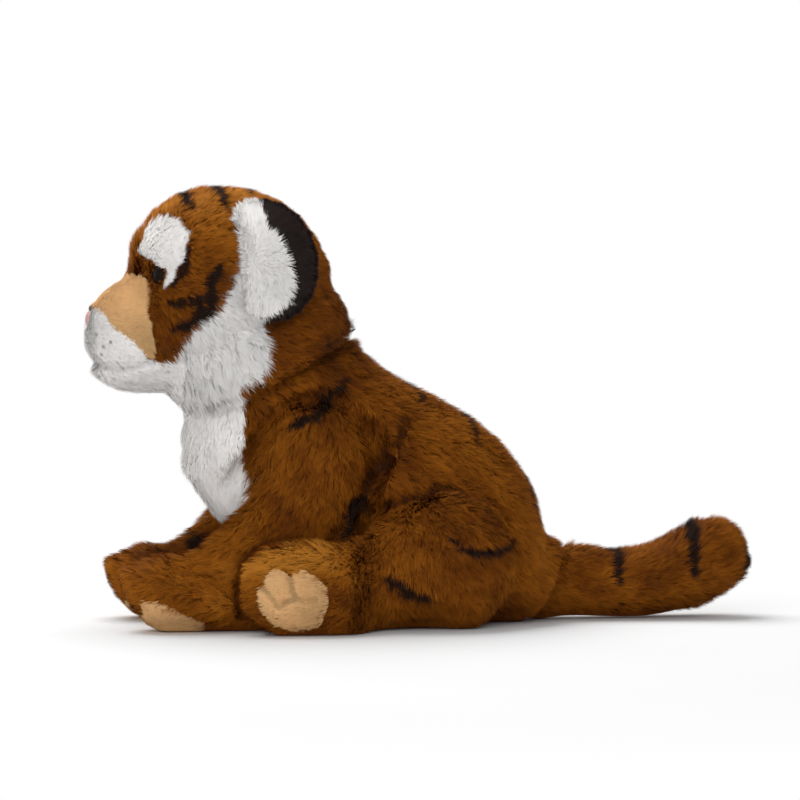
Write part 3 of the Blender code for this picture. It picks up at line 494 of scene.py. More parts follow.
def pelts_at(node, points, normals):
    """The pelt at each point of a node: its own, or what a region puts there."""
    found = np.full(len(points), pelt_of(node), dtype=PELT_NAME)
    wavy = points + 0.7 * MM * np.stack([rippled(points, 7.0 * MM, s) for s in (51, 52, 53)], axis=1)
    for nodes, outline, within, beyond in REGIONS:
        if is_one_of(node, nodes):
            here = inside(outline, wavy)
            if within == "ear_inside":
                outward = -inward_share(points, normals)
                here &= (outward > 0.9 * normals[:, 1] - 0.1) | (points[:, 1] < EAR_FRONT)
            if within == "chest":
                here &= (normals[:, 1] < 0.75) & (points[:, 1] < CHEST_BACK)
            if within:
                found[here] = within
            if beyond:
                found[~here] = beyond
    return found


def pelt_of(node):
    """The pelt that grows on a node, or None."""
    return next((pelt for pelt, kind in PELTS.items() if is_one_of(node, kind.nodes)), None)


class Cloth:
    """Finds which node of a set is nearest to a point."""

    def __init__(self, nodes):
        points, faces, owners = [], [], []
        for number, node in enumerate(nodes):
            mesh = frame["nodes"][node].data
            start = len(points)
            points += [tuple(v.co) for v in mesh.vertices]
            for polygon in mesh.polygons:
                faces.append([start + v for v in polygon.vertices])
                owners.append(number)
        self.nodes = list(nodes)
        self.owners = np.array(owners)
        self.tree = BVHTree.FromPolygons(points, faces)

    def nearest(self, points):
        """The nearest place on the nodes for each point: its spot, normal, face number and distance."""
        return [self.tree.find_nearest(p) for p in points.tolist()]

    def numbers_at(self, points):
        """The number of the nearest node for each point."""
        return self.owners[[face for _, _, face, _ in self.nearest(points)]]

    def each(self, numbers):
        """Each node that has a point of its own, and which points they are."""
        for number, node in enumerate(self.nodes):
            here = numbers == number
            if here.any():
                yield node, here

    def depths_at(self, points):
        """How deep each point lies below the surface of the nodes, negative outside."""
        found = zip(points.tolist(), self.nearest(points))
        return np.array([(spot - Vector(p)).dot(normal) for p, (spot, normal, _, _) in found])

    def gaps_at(self, points):
        """The distance of each point to the nearest node."""
        return np.array([gap for _, _, _, gap in self.nearest(points)])


def body_nodes(*bodies):
    """The nodes that ride these bodies."""
    groups = frame["record"]["behaviour"]["bodies"]
    return [node for body in bodies for node in groups[body]]


def cloth_nodes(*bodies):
    """The nodes of these bodies that cloth hides, so all but the eyes and the nose."""
    return [node for node in body_nodes(*bodies) if not is_one_of(node, "eye_left eye_right nose")]


def outer_nodes(nodes):
    """Those of the nodes that pile grows on."""
    return [node for node in nodes if pelt_of(node)]


LEGS = ("foreleg_left", "foreleg_right", "hindleg_left", "hindleg_right")
NECK_JOINT = next(joint for joint in frame["joints"] if joint["name"] == "neck_turn")
NECK_CENTRE = np.array(NECK_JOINT["pos_m"])
HEAD_CLOTH = Cloth(["head_skin"])
TORSO_CLOTH = Cloth(["torso_skin", "chest_panel"])


# Directions in which the pile is combed

# Comb: a spot that the pile lies away from, or None, a way it lies besides, and how far outwards
COMBS = {
    "torso_skin": ((0.0, -0.115, 0.19), (0.0, 0.45, -0.25), 0.0),
    "chest_panel": (None, (0.0, 0.15, -1.0), 0.12),
    "tail": (None, (0.0, 1.0, 0.12), 0.0),
    "cheek_ruff": ((0.0, -0.155, 0.175), (0.0, 0.15, -0.75), 0.0),
    "brow_patch": ((0.0, -0.160, 0.175), (0.0, 0.0, 0.0), 0.4),
    "head_skin": ((0.0, -0.172, 0.178), (0.0, 0.25, -0.15), 0.0),
    "muzzle_bridge whisker_pad chin": ((0.0, -0.190, 0.162), (0.0, 0.0, 0.0), 0.0),
}
# Comb of a leg: its way on the leg, its way on the paw, and the axis and range over which they change
LEG_COMBS = {
    "foreleg forepaw": ((0.0, -0.05, -1.0), (0.0, -1.0, -0.25), 2, (-0.075, -0.030)),
    "hindleg hindpaw": ((0.0, 0.35, -0.95), (0.1, -1.0, -0.15), 1, (0.015, 0.060)),
}
EAR_ROOT = (0.044, -0.100, 0.190)
# Pelts that lie the same way on every node they grow on
COMBED_AS = {"brow": "brow_patch", "crown": "head_skin"}


def along(points, direction):
    """The same direction for every point."""
    return np.broadcast_to(np.array(direction, float), points.shape)


def combed(node, points):
    """The way the pile lies on a node, before it is laid onto the surface."""
    side = np.sign(points[:, :1])
    if node.startswith("ear"):
        return unit(points - np.hstack([side, np.ones_like(side), np.ones_like(side)]) * EAR_ROOT)
    for starts, (on_leg, on_paw, axis, (low, high)) in LEG_COMBS.items():
        if is_one_of(node, starts):
            share = eased(-points[:, axis], low, high)[:, None]
            return along(points, on_leg) * (1.0 - share) + along(points, on_paw) * share
    spot, way, outwards = next(comb for starts, comb in COMBS.items() if is_one_of(node, starts))
    comb = along(points, way) + side * np.array([[outwards, 0.0, 0.0]])
    return comb if spot is None else unit(points - np.array(spot)) + comb


# Dyes: where the stripes and shades lie

# Stripe: the nodes it is on, the view it is drawn in, its points in that view in millimetres, half width.
# The side view is (y, z), the top view (x, y). An inner one is drawn in the side view on the inner faces.
STRIPES = (
    ("torso_skin foreleg_skin", "side", ((-84, 108), (-77, 111), (-67, 116), (-61, 123), (-53, 131)), 2.6),
    ("hindleg_skin", "side", ((-4, 52), (1, 47), (11, 44), (24, 43), (38, 50)), 1.9),
    ("hindleg_skin", "side", ((-36, 31), (-30, 27), (-22, 22), (-12, 18)), 3.0),
    ("torso_skin", "top", ((-23, -11), (0, -15), (23, -11)), 2.3),
    ("torso_skin", "top", ((-29, 17), (0, 13), (29, 17)), 2.3),
    ("torso_skin", "top", ((-28, 49), (0, 46), (28, 49)), 2.4),
    ("tail_skin", "side", ((92, 18), (94, 48)), 2.4),
    ("tail_skin", "side", ((132, 22), (134, 58)), 2.6),
    ("tail_skin", "side", ((164, 6), (166, 50)), 2.2),
    ("foreleg_skin", "inner", ((-124, 41), (-120, 43), (-116, 46)), 3.4),
    ("head_skin", "top", ((-27, -133), (-12, -135), (12, -135), (27, -133)), 2.7),
    ("head_skin", "top", ((-33, -116), (-12, -118), (12, -118), (33, -116)), 2.7),
    ("head_skin", "top", ((-15, -100), (0, -101), (15, -100)), 1.6),
    ("head_skin brow_patch", "side", ((-136, 199), (-138.2, 192), (-141, 185), (-145.4, 180)), 2.1),
    ("head_skin", "side", ((-121, 190), (-124.5, 184), (-127, 178), (-127.5, 173)), 2.5),
    ("head_skin", "side", ((-147, 170), (-139, 169.6), (-132, 171), (-126, 174)), 2.3),
    ("head_skin", "side", ((-144, 156), (-132.5, 160.5), (-125.5, 167), (-125.5, 175)), 3.2),
)

# Crease: the nodes it runs between, its points in the side view in millimetres, half width, depth. A crease is
# carved into the form, and its pile is shorter and has shade painted into it.
CREASES = (
    ("torso_skin foreleg_skin", ((-22, 110), (-27, 101), (-34, 88), (-41, 75), (-48, 57)), 3.6, 0.8),
    # the deep fold between the foreleg and the thigh: its pile is painted nearly black as shade
    ("torso_skin foreleg_skin", ((-46, 65), (-50, 57), (-54, 48), (-58, 41)), 6.0, 1.8),
    (
        "torso_skin hindleg_skin",
        ((-37, 65), (-26, 69.5), (-15, 72), (-8, 75.5), (1, 74.5), (6, 72)),
        2.2,
        0.5,
    ),
    ("torso_skin hindleg_skin", ((6, 72), (14, 70), (24, 68)), 2.4, 0.25),
    (
        "whisker_pad chin muzzle",
        ((-184, 138), (-179, 136.8), (-170, 134.7), (-162, 136), (-154, 138)),
        2.0,
        0.42,
    ),
    # round the hind paw's outline on the foreleg and torso: painted shade where the paw stands against them, over
    # a groove
    (
        "foreleg_skin torso_skin",
        ((-105, 8), (-107, 22), (-104, 37), (-98, 43), (-84, 46), (-66, 45), (-56, 39)),
        4.2,
        0.75,
    ),
    ("hindpaw_pad", ((-87, 35), (-85.8, 24.4), (-83.8, 20.4)), 2.2, 1.0),
    ("hindpaw_pad", ((-101, 26), (-97.9, 22.4), (-92.4, 15.6), (-88.7, 18.3), (-84, 20.6)), 2.0, 0.85),
    ("hindpaw_pad", ((-84, 20.4), (-79.5, 19), (-73.8, 20)), 2.0, 0.45),
)

# Collar, where the head's cloth meets the torso's: how far from the neck's middle it reaches, its depth, and
# the gaps between the two cloths where it is deepest and where it ends. It works as a crease: a groove with
# shorter pile and painted shade.
COLLAR_REACH = 75.0 * MM
COLLAR_DEPTH = 0.85
COLLAR_GAPS = (0.6 * MM, 3.4 * MM)


def crease_depth(node, points):
    """How deep a point lies in a crease, sewn or where parts meet, or in the collar, from 0 to about 1: the depth
    sinks the form, shortens the pile and sets the shade painted into it.
    """
    depth = np.zeros(len(points))
    for nodes, route, half_width, strength in CREASES:
        if is_one_of(node, nodes):
            near, _ = distance_to_route(points[:, 1:3], route)
            depth = np.maximum(depth, strength * (1.0 - eased(near, 0.3 * half_width * MM, half_width * MM)))
    other = {"head_skin": TORSO_CLOTH, "torso_skin": HEAD_CLOTH}.get(node)
    if other:
        close = np.linalg.norm(points - NECK_CENTRE, axis=1) < COLLAR_REACH
        if close.any():
            gaps = other.gaps_at(points[close])
            depth[close] = np.maximum(depth[close], COLLAR_DEPTH - COLLAR_DEPTH * eased(gaps, *COLLAR_GAPS))
    return depth


def stripe_strength(node, points, normals):
    """How far a point is dyed by the stripes, from 0 to 1."""
    strength = np.zeros(len(points))
    grain = rippled(points, 9.0 * MM, 3)
    # View: the axes that it is drawn on, and how far each point faces it.
    views = {
        "side": (slice(1, 3), 1.0),
        "top": (slice(0, 2), eased(normals[:, 2], -0.1, 0.25)),
        "inner": (slice(1, 3), eased(inward_share(points, normals), -0.1, 0.3)),
    }
    for nodes, view, route, half_width in STRIPES:
        if is_one_of(node, nodes):
            axes, shown = views[view]
            near, part = distance_to_route(points[:, axes], route)
            taper = 0.35 + 0.65 * np.sin(np.pi * np.clip(part, 0.02, 0.98)) ** 0.7
            half = half_width * MM * taper * (1.0 + 0.35 * grain)
            strength = np.maximum(strength, shown * (1.0 - eased(near, 0.75 * half, 1.45 * half)))
    return strength


def distance_to_route(flat, route):
    """Distance of each point to a line drawn in millimetres, and how far along it the nearest place is."""
    route = np.array(route, float) * MM
    best = np.full(len(flat), np.inf)
    part = np.zeros(len(flat))
    last = len(route) - 1
    for k in range(last):
        start, run = route[k], route[k + 1] - route[k]
        t = np.clip(((flat - start) @ run) / (run @ run), 0.0, 1.0)
        gap = np.linalg.norm(flat - start - t[:, None] * run, axis=1)
        closer = gap < best
        best[closer] = gap[closer]
        part[closer] = ((k + t) / last)[closer]
    return best, part


WAVES = 5
WAVES_REACH = 2.6  # about how far their sum goes


def rippled(points, size, seed):
    """A smooth random-looking value between about -1 and 1 that changes over size."""
    chance = np.random.default_rng(seed)
    total = np.zeros(len(points))
    for _ in range(WAVES):
        way = unit(chance.normal(size=(1, 3)))[0]
        turns = (points @ way) * (math.tau / size) * chance.uniform(0.6, 1.5)
        total += np.sin(turns + chance.uniform(0, 6.3))
    return total / WAVES_REACH


# Painted light and shade, and a darker band on the bridge: how much paler a place of a pelt is, and the
# measures it is eased along, each with the value where it starts and the value where it is full, in millimetres
# for y, z and side
PAINTED_LIGHT_SHADE_AND_TONE = {
    "body": (
        # painted light on the upper back
        (0.10, ("z", 55, 105), ("y", -45, 0)),
        # painted shade along the middle of the body, from the shoulder to the thigh
        (-0.09, ("y", -112, -88), ("y", 60, 35)),
        # painted highlight on the top of each hind paw
        (0.50, ("side", 55, 75), ("y", -46, -68), ("z", 22, 40)),
        # painted shade on the inner faces of the forepaws, where the other paw stands close
        (-0.22, ("inward", 0.0, 0.6), ("y", -160, -146), ("z", 60, 45)),
        # painted shade on the tail
        (-0.10, ("y", 55, 75)),
        # painted shade on the nape, under the head
        (-0.08, ("z", 95, 125), ("y", -40, -60)),
    ),
    # crown: painted light on the top of the head, painted shade towards its back
    "crown": ((0.35, ("z", 172, 215)), (-0.08, ("y", -90, -65))),
    # bridge: darker towards its bottom
    "bridge": ((-0.22, ("z", 168, 148)),),
}

# Whisker dots in the side view in millimetres, how far they are dark, where they end, and how far they reach
# inwards from the outermost place, so that none runs right across the front of the pad
DOTS = ((-180.5, 152.5), (-177.0, 146.5), (-173.5, 149.0), (-183.0, 147.5), (-178.0, 142.5))
DOT_DARK = 0.6 * MM
DOT_EDGE = 1.2 * MM
DOT_DEPTH = 1.6 * MM


def dyed(node, pelt, points, normals):
    """Shade of each point, from 0 to 1, with light and shade painted on some places."""
    x, y, z = points.T
    patchy = 0.07 * rippled(points, 42.0 * MM, 11) + 0.05 * rippled(points, 17.0 * MM, 12)
    measures = {"side": np.abs(x) / MM, "y": y / MM, "z": z / MM, "inward": inward_share(points, normals)}
    shade = PELTS[pelt].tone + PELTS[pelt].patchiness * patchy
    for paler, *spans in PAINTED_LIGHT_SHADE_AND_TONE.get(pelt, ()):
        shade += paler * math.prod(eased(measures[measure], start, full) for measure, start, full in spans)
    if pelt == "whisker":
        for dot in DOTS:
            near = np.hypot(y - dot[0] * MM, z - dot[1] * MM)
            close = near < DOT_EDGE
            if close.any():
                outer = np.abs(x) > np.abs(x[close]).max() - DOT_DEPTH
                shade = np.where(outer, shade * (0.3 + 0.7 * eased(near, DOT_DARK, DOT_EDGE)), shade)
    if PELTS[pelt].finish == "brown_plush":
        shade = shade * (1.0 - stripe_strength(node, points, normals))
    return shade


# Growing the pile

SQUARE_MM_IN_SQUARE_M = 1e6
DEPTH_SHARE = 0.92  # of the height to which a straight strand would lift
FULL_TUFTS = 8.0 * MM  # the length of pile that gathers in tufts of the full size
STRAND_BEND = math.radians(13.0)  # each way at a strand's middle
FLOOR_GAPS = 0.25 * MM + 0.2 * MM * np.arange(5) / 4.0  # the lowest that each corner of a strand may be
# Shade painted into the pile of the creases: darker by depth, less on the soles, down to a limit, and further in
# deep creases
CREASE_PAINTED_SHADE = 0.34
SOLE_CREASE_PAINTED_SHADE = 0.26
CREASE_PAINTED_SHADE_LIMIT = 0.26  # the darkest that a crease's painted shade goes
DEEP_CREASE = 1.1  # the depth past which it may be darker still
DEEP_CREASE_PAINTED_SHADE = 0.15
STRIPE_SHADE = 0.3  # shades below it are stripes, which the creases' painted shade leaves alone
# At full unrest, how far tufts and their halves differ: turn in radians, lean in degrees and shade
TUFT_TURNS = (1.4, 1.0)
TUFT_LEANS = (24.0, 18.0)
TUFT_SHADES = (0.14, 0.18)
# From strand to strand: spread of turn, lean and shade, range of length and width
STRAND_TURN = 0.16
STRAND_LEAN = 5.0
STRAND_SHADE = 0.03
STRAND_LENGTHS = (0.72, 1.08)
STRAND_WIDTHS = (0.35, 0.65)
CREASE_SHORTER = 0.35
GATHERED = 0.35  # how far full tufts draw their tips to the middle
TIP_PRESSED = 0.85  # how far a tip that stands out is laid back
LOWER_SHARE = 0.48  # of a strand's length, below its bend
MIDDLE_WIDTH = 0.85  # of the width at the root
# How much the shading of a strand at full unrest follows its way and its face instead of the skin
LIT_ALONG = 0.42
LIT_FACING = 0.14
CELL_PRIMES = (73856093, 19349663, 83492791)
CELL_MIXER = 73244475
CELL_SEED_STEP = 2654435761
CELL_NUMBER_STEP = 40503
STRAND_FACES = (0, 1, 2, 0, 2, 3, 3, 2, 4)
# The map holds the dye across and root to tip upwards.
STRAND_ACROSS = (-0.006, 0.006, 0.006, -0.006, 0.0)
STRAND_UP = (0.02, 0.02, 0.5, 0.5, 0.98)


def scattered(form, density, shares, chance):
    """Random spots on a form, denser where a triangle's share is higher: points, normals, triangles."""
    a, b, c = (form.points[form.triangles[:, k]] for k in range(3))
    weight = np.linalg.norm(np.cross(b - a, c - a), axis=1) / 2.0 * shares
    count = int(weight.sum() * SQUARE_MM_IN_SQUARE_M * density)
    where = chance.choice(len(weight), size=count, p=weight / weight.sum())
    u, v = chance.random(count), chance.random(count)
    over = u + v > 1.0
    u[over], v[over] = 1.0 - u[over], 1.0 - v[over]
    weights = np.stack([1.0 - u - v, u, v], axis=1)
    corners = form.triangles[where]
    points = (form.points[corners] * weights[:, :, None]).sum(axis=1)
    normals = unit((form.normals[corners] * weights[:, :, None]).sum(axis=1))
    return points, normals, where


def cell_chance(cells, seed):
    """Four random numbers for each cell of space, the same for the same cell."""
    keys = (cells * np.array(CELL_PRIMES)).sum(axis=1) + seed * CELL_SEED_STEP
    made = []
    for k in range(4):
        mixed = (keys + k * CELL_NUMBER_STEP) & 0xFFFFFFFF
        for _ in range(2):
            mixed = ((mixed ^ (mixed >> 16)) * CELL_MIXER) & 0xFFFFFFFF
        made.append(((mixed ^ (mixed >> 16)) & 0xFFFFFF) / float(0xFFFFFF))
    return np.stack(made, axis=1)


def pile_length(pelt):
    """The length of a pelt's strands."""
    kind = PELTS[pelt]
    return getattr(bpy.context.scene.tiger_pile, kind.length_setting) * kind.length_share


def pile_depth(pelt):
    """How far the roots of a pelt lie below its outside."""
    return pile_length(pelt) * math.sin(math.radians(PELTS[pelt].lift)) * DEPTH_SHARE


def tufted(points, normals, size):
    """Four chances of each spot's tuft, four of its half-size tuft, and the way to the tuft's middle."""
    warp = np.stack([rippled(points, 3.0 * size, s) for s in (21, 22, 23)], axis=1)
    cells = np.floor((points + warp * size * 0.35) / size).astype(np.int64)
    halves = np.floor((points + warp * size * 0.5) / (0.5 * size)).astype(np.int64)
    tuft = cell_chance(cells, 5)
    pull = (cells + 0.25 + 0.5 * tuft[:, :3]) * size - points
    return tuft, cell_chance(halves, 9), pull - normals * rows_dot(pull, normals)


def uneven(tuft, half_tuft, column, spreads):
    """A value that differs from tuft to tuft and from half to half."""
    return (tuft[:, column] - 0.5) * spreads[0] + (half_tuft[:, column] - 0.5) * spreads[1]


def strand_ways(node, pelt, points, normals, tuft, half_tuft, chance):
    """The ways of the lower and upper halves of strands: the comb, laid on the surface, turned and lifted."""
    kind = PELTS[pelt]
    comb = combed(COMBED_AS.get(pelt, node), points)
    comb = unit(comb - normals * rows_dot(comb, normals))
    turn = 0.5 * rippled(points, 26.0 * MM, 31) + uneven(tuft, half_tuft, 3, TUFT_TURNS)
    turn = (kind.unrest * turn + chance.normal(0.0, STRAND_TURN, len(points)))[:, None]
    comb = comb * np.cos(turn) + np.cross(normals, comb) * np.sin(turn)
    lean = kind.lift + kind.unrest * uneven(tuft, half_tuft, 0, TUFT_LEANS)
    lean = np.radians(lean + chance.normal(0.0, STRAND_LEAN, len(points)))[:, None]
    return [comb * np.cos(a) + normals * np.sin(a) for a in (lean + STRAND_BEND, lean - STRAND_BEND)]


def strand_shades(node, pelt, points, normals, dip, tuft, half_tuft, chance):
    """The dye of each strand, with shade painted into the creases, and uneven from tuft to tuft."""
    shade = dyed(node, pelt, points, normals)
    # Shade is painted into the creases' pile, down to a limit.
    painted_darker = SOLE_CREASE_PAINTED_SHADE if pelt == "sole" else CREASE_PAINTED_SHADE
    sunk = np.maximum(shade - painted_darker * dip, CREASE_PAINTED_SHADE_LIMIT - DEEP_CREASE_PAINTED_SHADE * (dip > DEEP_CREASE))
    shade = np.where(shade > STRIPE_SHADE, sunk, shade)
    spread = PELTS[pelt].unrest * uneven(tuft, half_tuft, 1, TUFT_SHADES) * (shade > 0.12)
    return np.clip(shade + spread + chance.normal(0.0, STRAND_SHADE, len(points)), 0.02, 0.98)


class Pile:
    """Strands gathered region by region, then made into one mesh."""

    def __init__(self):
        self.points, self.normals, self.shades = [], [], []

    def grow(self, node, pelt, points, normals, chance):
        """Strands of one pelt on one node. The points are on the outside of the pile."""
        pile = bpy.context.scene.tiger_pile
        kind = PELTS[pelt]
        count = len(points)
        length = pile_length(pelt)
        full = min(1.0, length / FULL_TUFTS)
        tuft, half_tuft, pull = tufted(points, normals, pile.clump * (0.55 + 0.45 * full))
        lower, upper = strand_ways(node, pelt, points, normals, tuft, half_tuft, chance)
        dip = crease_depth(node, points)
        long = length * (chance.uniform(*STRAND_LENGTHS, count) * (1.0 - CREASE_SHORTER * dip))[:, None]
        roots = points - normals * pile_depth(pelt)
        middles = roots + lower * long * LOWER_SHARE
        gather = kind.unrest * min(GATHERED, GATHERED * length / FULL_TUFTS)
        tips = middles + upper * long * (1.0 - LOWER_SHARE) + pull * gather
        # Tips stay near the outside of the pile, and nothing goes under the floor.
        over = rows_dot(tips - points, normals)
        tips -= normals * np.maximum(over - (0.15 + 0.6 * kind.unrest) * MM, 0.0) * TIP_PRESSED
        way = unit(tips - roots)
        side = unit(np.cross(way, normals))
        twist = chance.uniform(-1.0, 1.0, count)[:, None] * (0.2 + 0.8 * kind.unrest)
        broad = side * np.cos(twist) + np.cross(side, way) * np.sin(twist)
        half = broad * pile.strand_width * kind.width_share * chance.uniform(*STRAND_WIDTHS, count)[:, None]
        narrow = half * MIDDLE_WIDTH
        five = np.stack([roots - half, roots + half, middles + narrow, middles - narrow, tips], axis=1)
        five[:, :, 2] = np.maximum(five[:, :, 2], FLOOR_GAPS)
        lit = unit(normals + kind.unrest * (LIT_ALONG * upper + LIT_FACING * unit(np.cross(broad, way))))
        self.points.append(five)
        self.normals.append(np.repeat(lit[:, None, :], 5, axis=1))
        self.shades.append(strand_shades(node, pelt, points, normals, dip, tuft, half_tuft, chance))

    def make(self, name, finish, body):
        """Makes the piece that holds these strands."""
        points = np.concatenate(self.points)
        count = len(points)
        mesh = bpy.data.meshes.new(name)
        mesh.vertices.add(count * 5)
        mesh.vertices.foreach_set("co", points.astype(np.float32).ravel())
        corners = (np.arange(count)[:, None] * 5 + np.array(STRAND_FACES)).ravel().astype(np.int32)
        mesh.loops.add(len(corners))
        mesh.loops.foreach_set("vertex_index", corners)
        mesh.polygons.add(count * 3)
        mesh.polygons.foreach_set("loop_start", np.arange(0, count * 9, 3, dtype=np.int32))
        mesh.update(calc_edges=True)
        mesh.shade_smooth()
        lit = mesh.attributes.new("custom_normal", "FLOAT_VECTOR", "POINT")
        lit.data.foreach_set("vector", np.concatenate(self.normals).astype(np.float32).ravel())
        places = np.empty((count, 5, 2), dtype=np.float32)
        places[:, :, 0] = np.concatenate(self.shades)[:, None] + np.array(STRAND_ACROSS)
        places[:, :, 1] = np.array(STRAND_UP)
        layer = mesh.uv_layers.new(name="OFBake")
        layer.uv.foreach_set("vector", places.reshape(-1, 2)[corners].ravel())
        obj = bpy.data.objects.new(name, mesh)
        bpy.context.scene.collection.objects.link(obj)
        mesh.materials.append(pile_material(finish))
        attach(obj, body)


# Materials


def new_material(name):
    """A new material, its node tree and its shader."""
    material = bpy.data.materials.new(name)
    material.use_nodes = True
    tree = material.node_tree
    return material, tree, tree.nodes["Principled BSDF"]


def linked(tree, kind, inputs=None, **values):
    """A new node with its values set and its inputs linked."""
    node = tree.nodes.new(kind)
    for name, value in values.items():
        setattr(node, name, value)
    for socket, source in (inputs or {}).items():
        if isinstance(source, bpy.types.NodeSocket):
            tree.links.new(source, node.inputs[socket])
        else:
            node.inputs[socket].default_value = source
    return node


def ramp(tree, source, stops):
    """A colour ramp with these (position, colour) stops."""
    node = linked(tree, "ShaderNodeValToRGB", {"Fac": source})
    elements = node.color_ramp.elements
    while len(elements) < len(stops):
        elements.new(0.5)
    for element, (position, colour) in zip(elements, stops):
        element.position = position
        element.color = (*colour, 1.0)
    return node.outputs["Color"]


def toned(name, share):
    """A dye of the settings, darker or paler by a share."""
    return tuple(c * share for c in getattr(bpy.context.scene.tiger_colours, name))


def surfaced(tree, shader, colour, roughness, specular=0.5):
    """Links a shader's colour and sets how it shines."""
    tree.links.new(colour, shader.inputs["Base Color"])
    shader.inputs["Roughness"].default_value = roughness
    shader.inputs["Specular IOR Level"].default_value = specular


def bumped(tree, shader, height, strength):
    """Raises a surface by a pattern's height."""
    bump = linked(tree, "ShaderNodeBump", {"Height": height, "Strength": strength, "Distance": 0.3 * MM})
    tree.links.new(bump.outputs["Normal"], shader.inputs["Normal"])


# Dye of a finish across the map: a shade, the setting with its colour and a share of it
DYES = {
    "brown_plush": (
        (0.0, "stripe", 1.0),
        (0.14, "stripe", 1.6),
        (0.38, "dark_brown", 1.0),
        (0.66, "brown", 1.0),
        (1.0, "light_brown", 1.0),
    ),
    "white_plush": ((0.0, "white", 0.12), (0.30, "white", 0.7), (0.60, "white", 0.97), (1.0, "white", 1.03)),
    "black_plush": ((0.0, "black", 0.5), (0.6, "black", 1.0), (1.0, "black", 2.4)),
    "tan_velour": ((0.0, "tan", 0.25), (0.40, "tan", 0.62), (0.66, "tan", 1.0), (1.0, "tan", 1.22)),
}
# Painted light on a strand of a finish at its root, middle and tip: shade painted at the roots, light at the tips
STRAND_PAINTED_LIGHT = {
    "brown_plush": (0.5, 0.75, 1.1),
    "white_plush": (0.95, 0.975, 1.0),
    "black_plush": (0.5, 0.75, 1.1),
    "tan_velour": (0.9, 0.95, 1.0),
}
# Dye of the backing under a finish, and its share
BACKINGS = {
    "brown_plush": ("dark_brown", 1.0),
    "white_plush": ("white", 0.95),
    "black_plush": ("black", 1.0),
    "tan_velour": ("tan", 0.9),
}


def pile_material(finish):
    """Pile dyed strand by strand, with shade painted at its roots and light painted at its tips."""
    found = bpy.data.materials.get(finish + "_pile")
    if found:
        return found
    material, tree, shader = new_material(finish + "_pile")
    place = linked(tree, "ShaderNodeUVMap", uv_map="OFBake")
    parts = linked(tree, "ShaderNodeSeparateXYZ", {"Vector": place.outputs["UV"]})
    dye = ramp(tree, parts.outputs["X"], [(shade, toned(name, share)) for shade, name, share in DYES[finish]])
    # painted shade at the roots and painted light at the tips
    light = [(up, (grey,) * 3) for up, grey in zip((0.0, 0.5, 1.0), STRAND_PAINTED_LIGHT[finish])]
    lit = ramp(tree, parts.outputs["Y"], light)
    mixed = linked(tree, "ShaderNodeVectorMath", {0: dye, 1: lit}, operation="MULTIPLY")
    surfaced(tree, shader, mixed.outputs["Vector"], 0.85, 0.08)
    return material


def backing_material(knit):
    """Knitted backing in the dye of the pile above it, with fine loops."""
    material, tree, shader = new_material("knitted_backing")
    place = linked(tree, "ShaderNodeTexCoord").outputs["Object"]
    dye = linked(tree, "ShaderNodeAttribute", attribute_name="dye")
    patches = linked(tree, "ShaderNodeTexNoise", {"Vector": place, "Scale": 60.0, "Detail": 4.0})
    loops = linked(tree, "ShaderNodeTexVoronoi", {"Vector": place, "Scale": 1.0 / knit})
    tone = ramp(tree, patches.outputs["Fac"], ((0.3, (0.8,) * 3), (0.7, (1.1,) * 3)))
    mixed = linked(tree, "ShaderNodeVectorMath", {0: dye.outputs["Color"], 1: tone}, operation="MULTIPLY")
    surfaced(tree, shader, mixed.outputs["Vector"], 0.95, 0.1)
    bumped(tree, shader, loops.outputs["Distance"], 0.4)
    return material


# Stuffed forms under the pile

CLOTH_BELOW = 0.6 * MM  # how far the cloth lies below the roots of the pile
PALE_CLOTH_BELOW = 1.8 * MM
THICKEST_HALF = 50.0 * MM
UNDERSIDE = (0.5 * MM, 9.0 * MM)  # heights between which the flat underside passes into the side
KNIT = 0.9 * MM


def pelts_on(shape, cloth):
    """The nearest node's number and the pelt at each vertex of a form."""
    near = cloth.numbers_at(shape.points)
    found = np.empty(len(near), dtype=PELT_NAME)
    for node, here in cloth.each(near):
        found[here] = pelts_at(node, shape.points[here], shape.normals[here])
    return near, found


def half_thickness(shape):
    """Half the way through a form from each of its vertices."""
    tree = shape.tree()
    made = np.full(len(shape.points), THICKEST_HALF)
    starts = (shape.points - shape.normals * 0.05 * MM).tolist()
    for k, (start, way) in enumerate(zip(starts, (-shape.normals).tolist())):
        gap = tree.ray_cast(start, way)[3]
        if gap is not None:
            made[k] = gap / 2.0
    return made


def stuffed_cloth(body, name, voxel):
    """The body's cloth with its filling, as deep under the CAD skin as its pile is high."""
    nodes = body_nodes(body)
    form = carve(rounded_form(nodes, name, voxel, 6), nodes)
    shape = Form(form)
    _, pelts = pelts_on(shape, Cloth(outer_nodes(nodes)))
    depths = {}
    dyes = {}
    for pelt, kind in PELTS.items():
        depths[pelt] = pile_depth(pelt) + (PALE_CLOTH_BELOW if kind.finish == "white_plush" else CLOTH_BELOW)
        dyes[pelt] = (*toned(*BACKINGS[kind.finish]), 1.0)
    depth = np.array([depths[pelt] for pelt in pelts])
    depth = shape.blurred(np.minimum(depth, 0.8 * half_thickness(shape)), 5)
    moved = shape.points - shape.normals * depth[:, None]
    # The flat underside stays near the floor.
    height = shape.points[:, 2]
    low = 1.0 - eased(height, *UNDERSIDE)
    moved[:, 2] = moved[:, 2] * (1.0 - low) + np.maximum(height * 0.6, 0.3 * MM) * low
    moved_to(form, moved)
    form.data.shade_smooth()
    dye = form.data.color_attributes.new("dye", "FLOAT_COLOR", "POINT")
    dye.data.foreach_set("color", np.array([dyes[pelt] for pelt in pelts], np.float32).ravel())
    return form


def dress(form, body, replaced, material):
    form.data.materials.clear()
    form.data.materials.append(material)
    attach(form, body)
    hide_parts(*replaced)


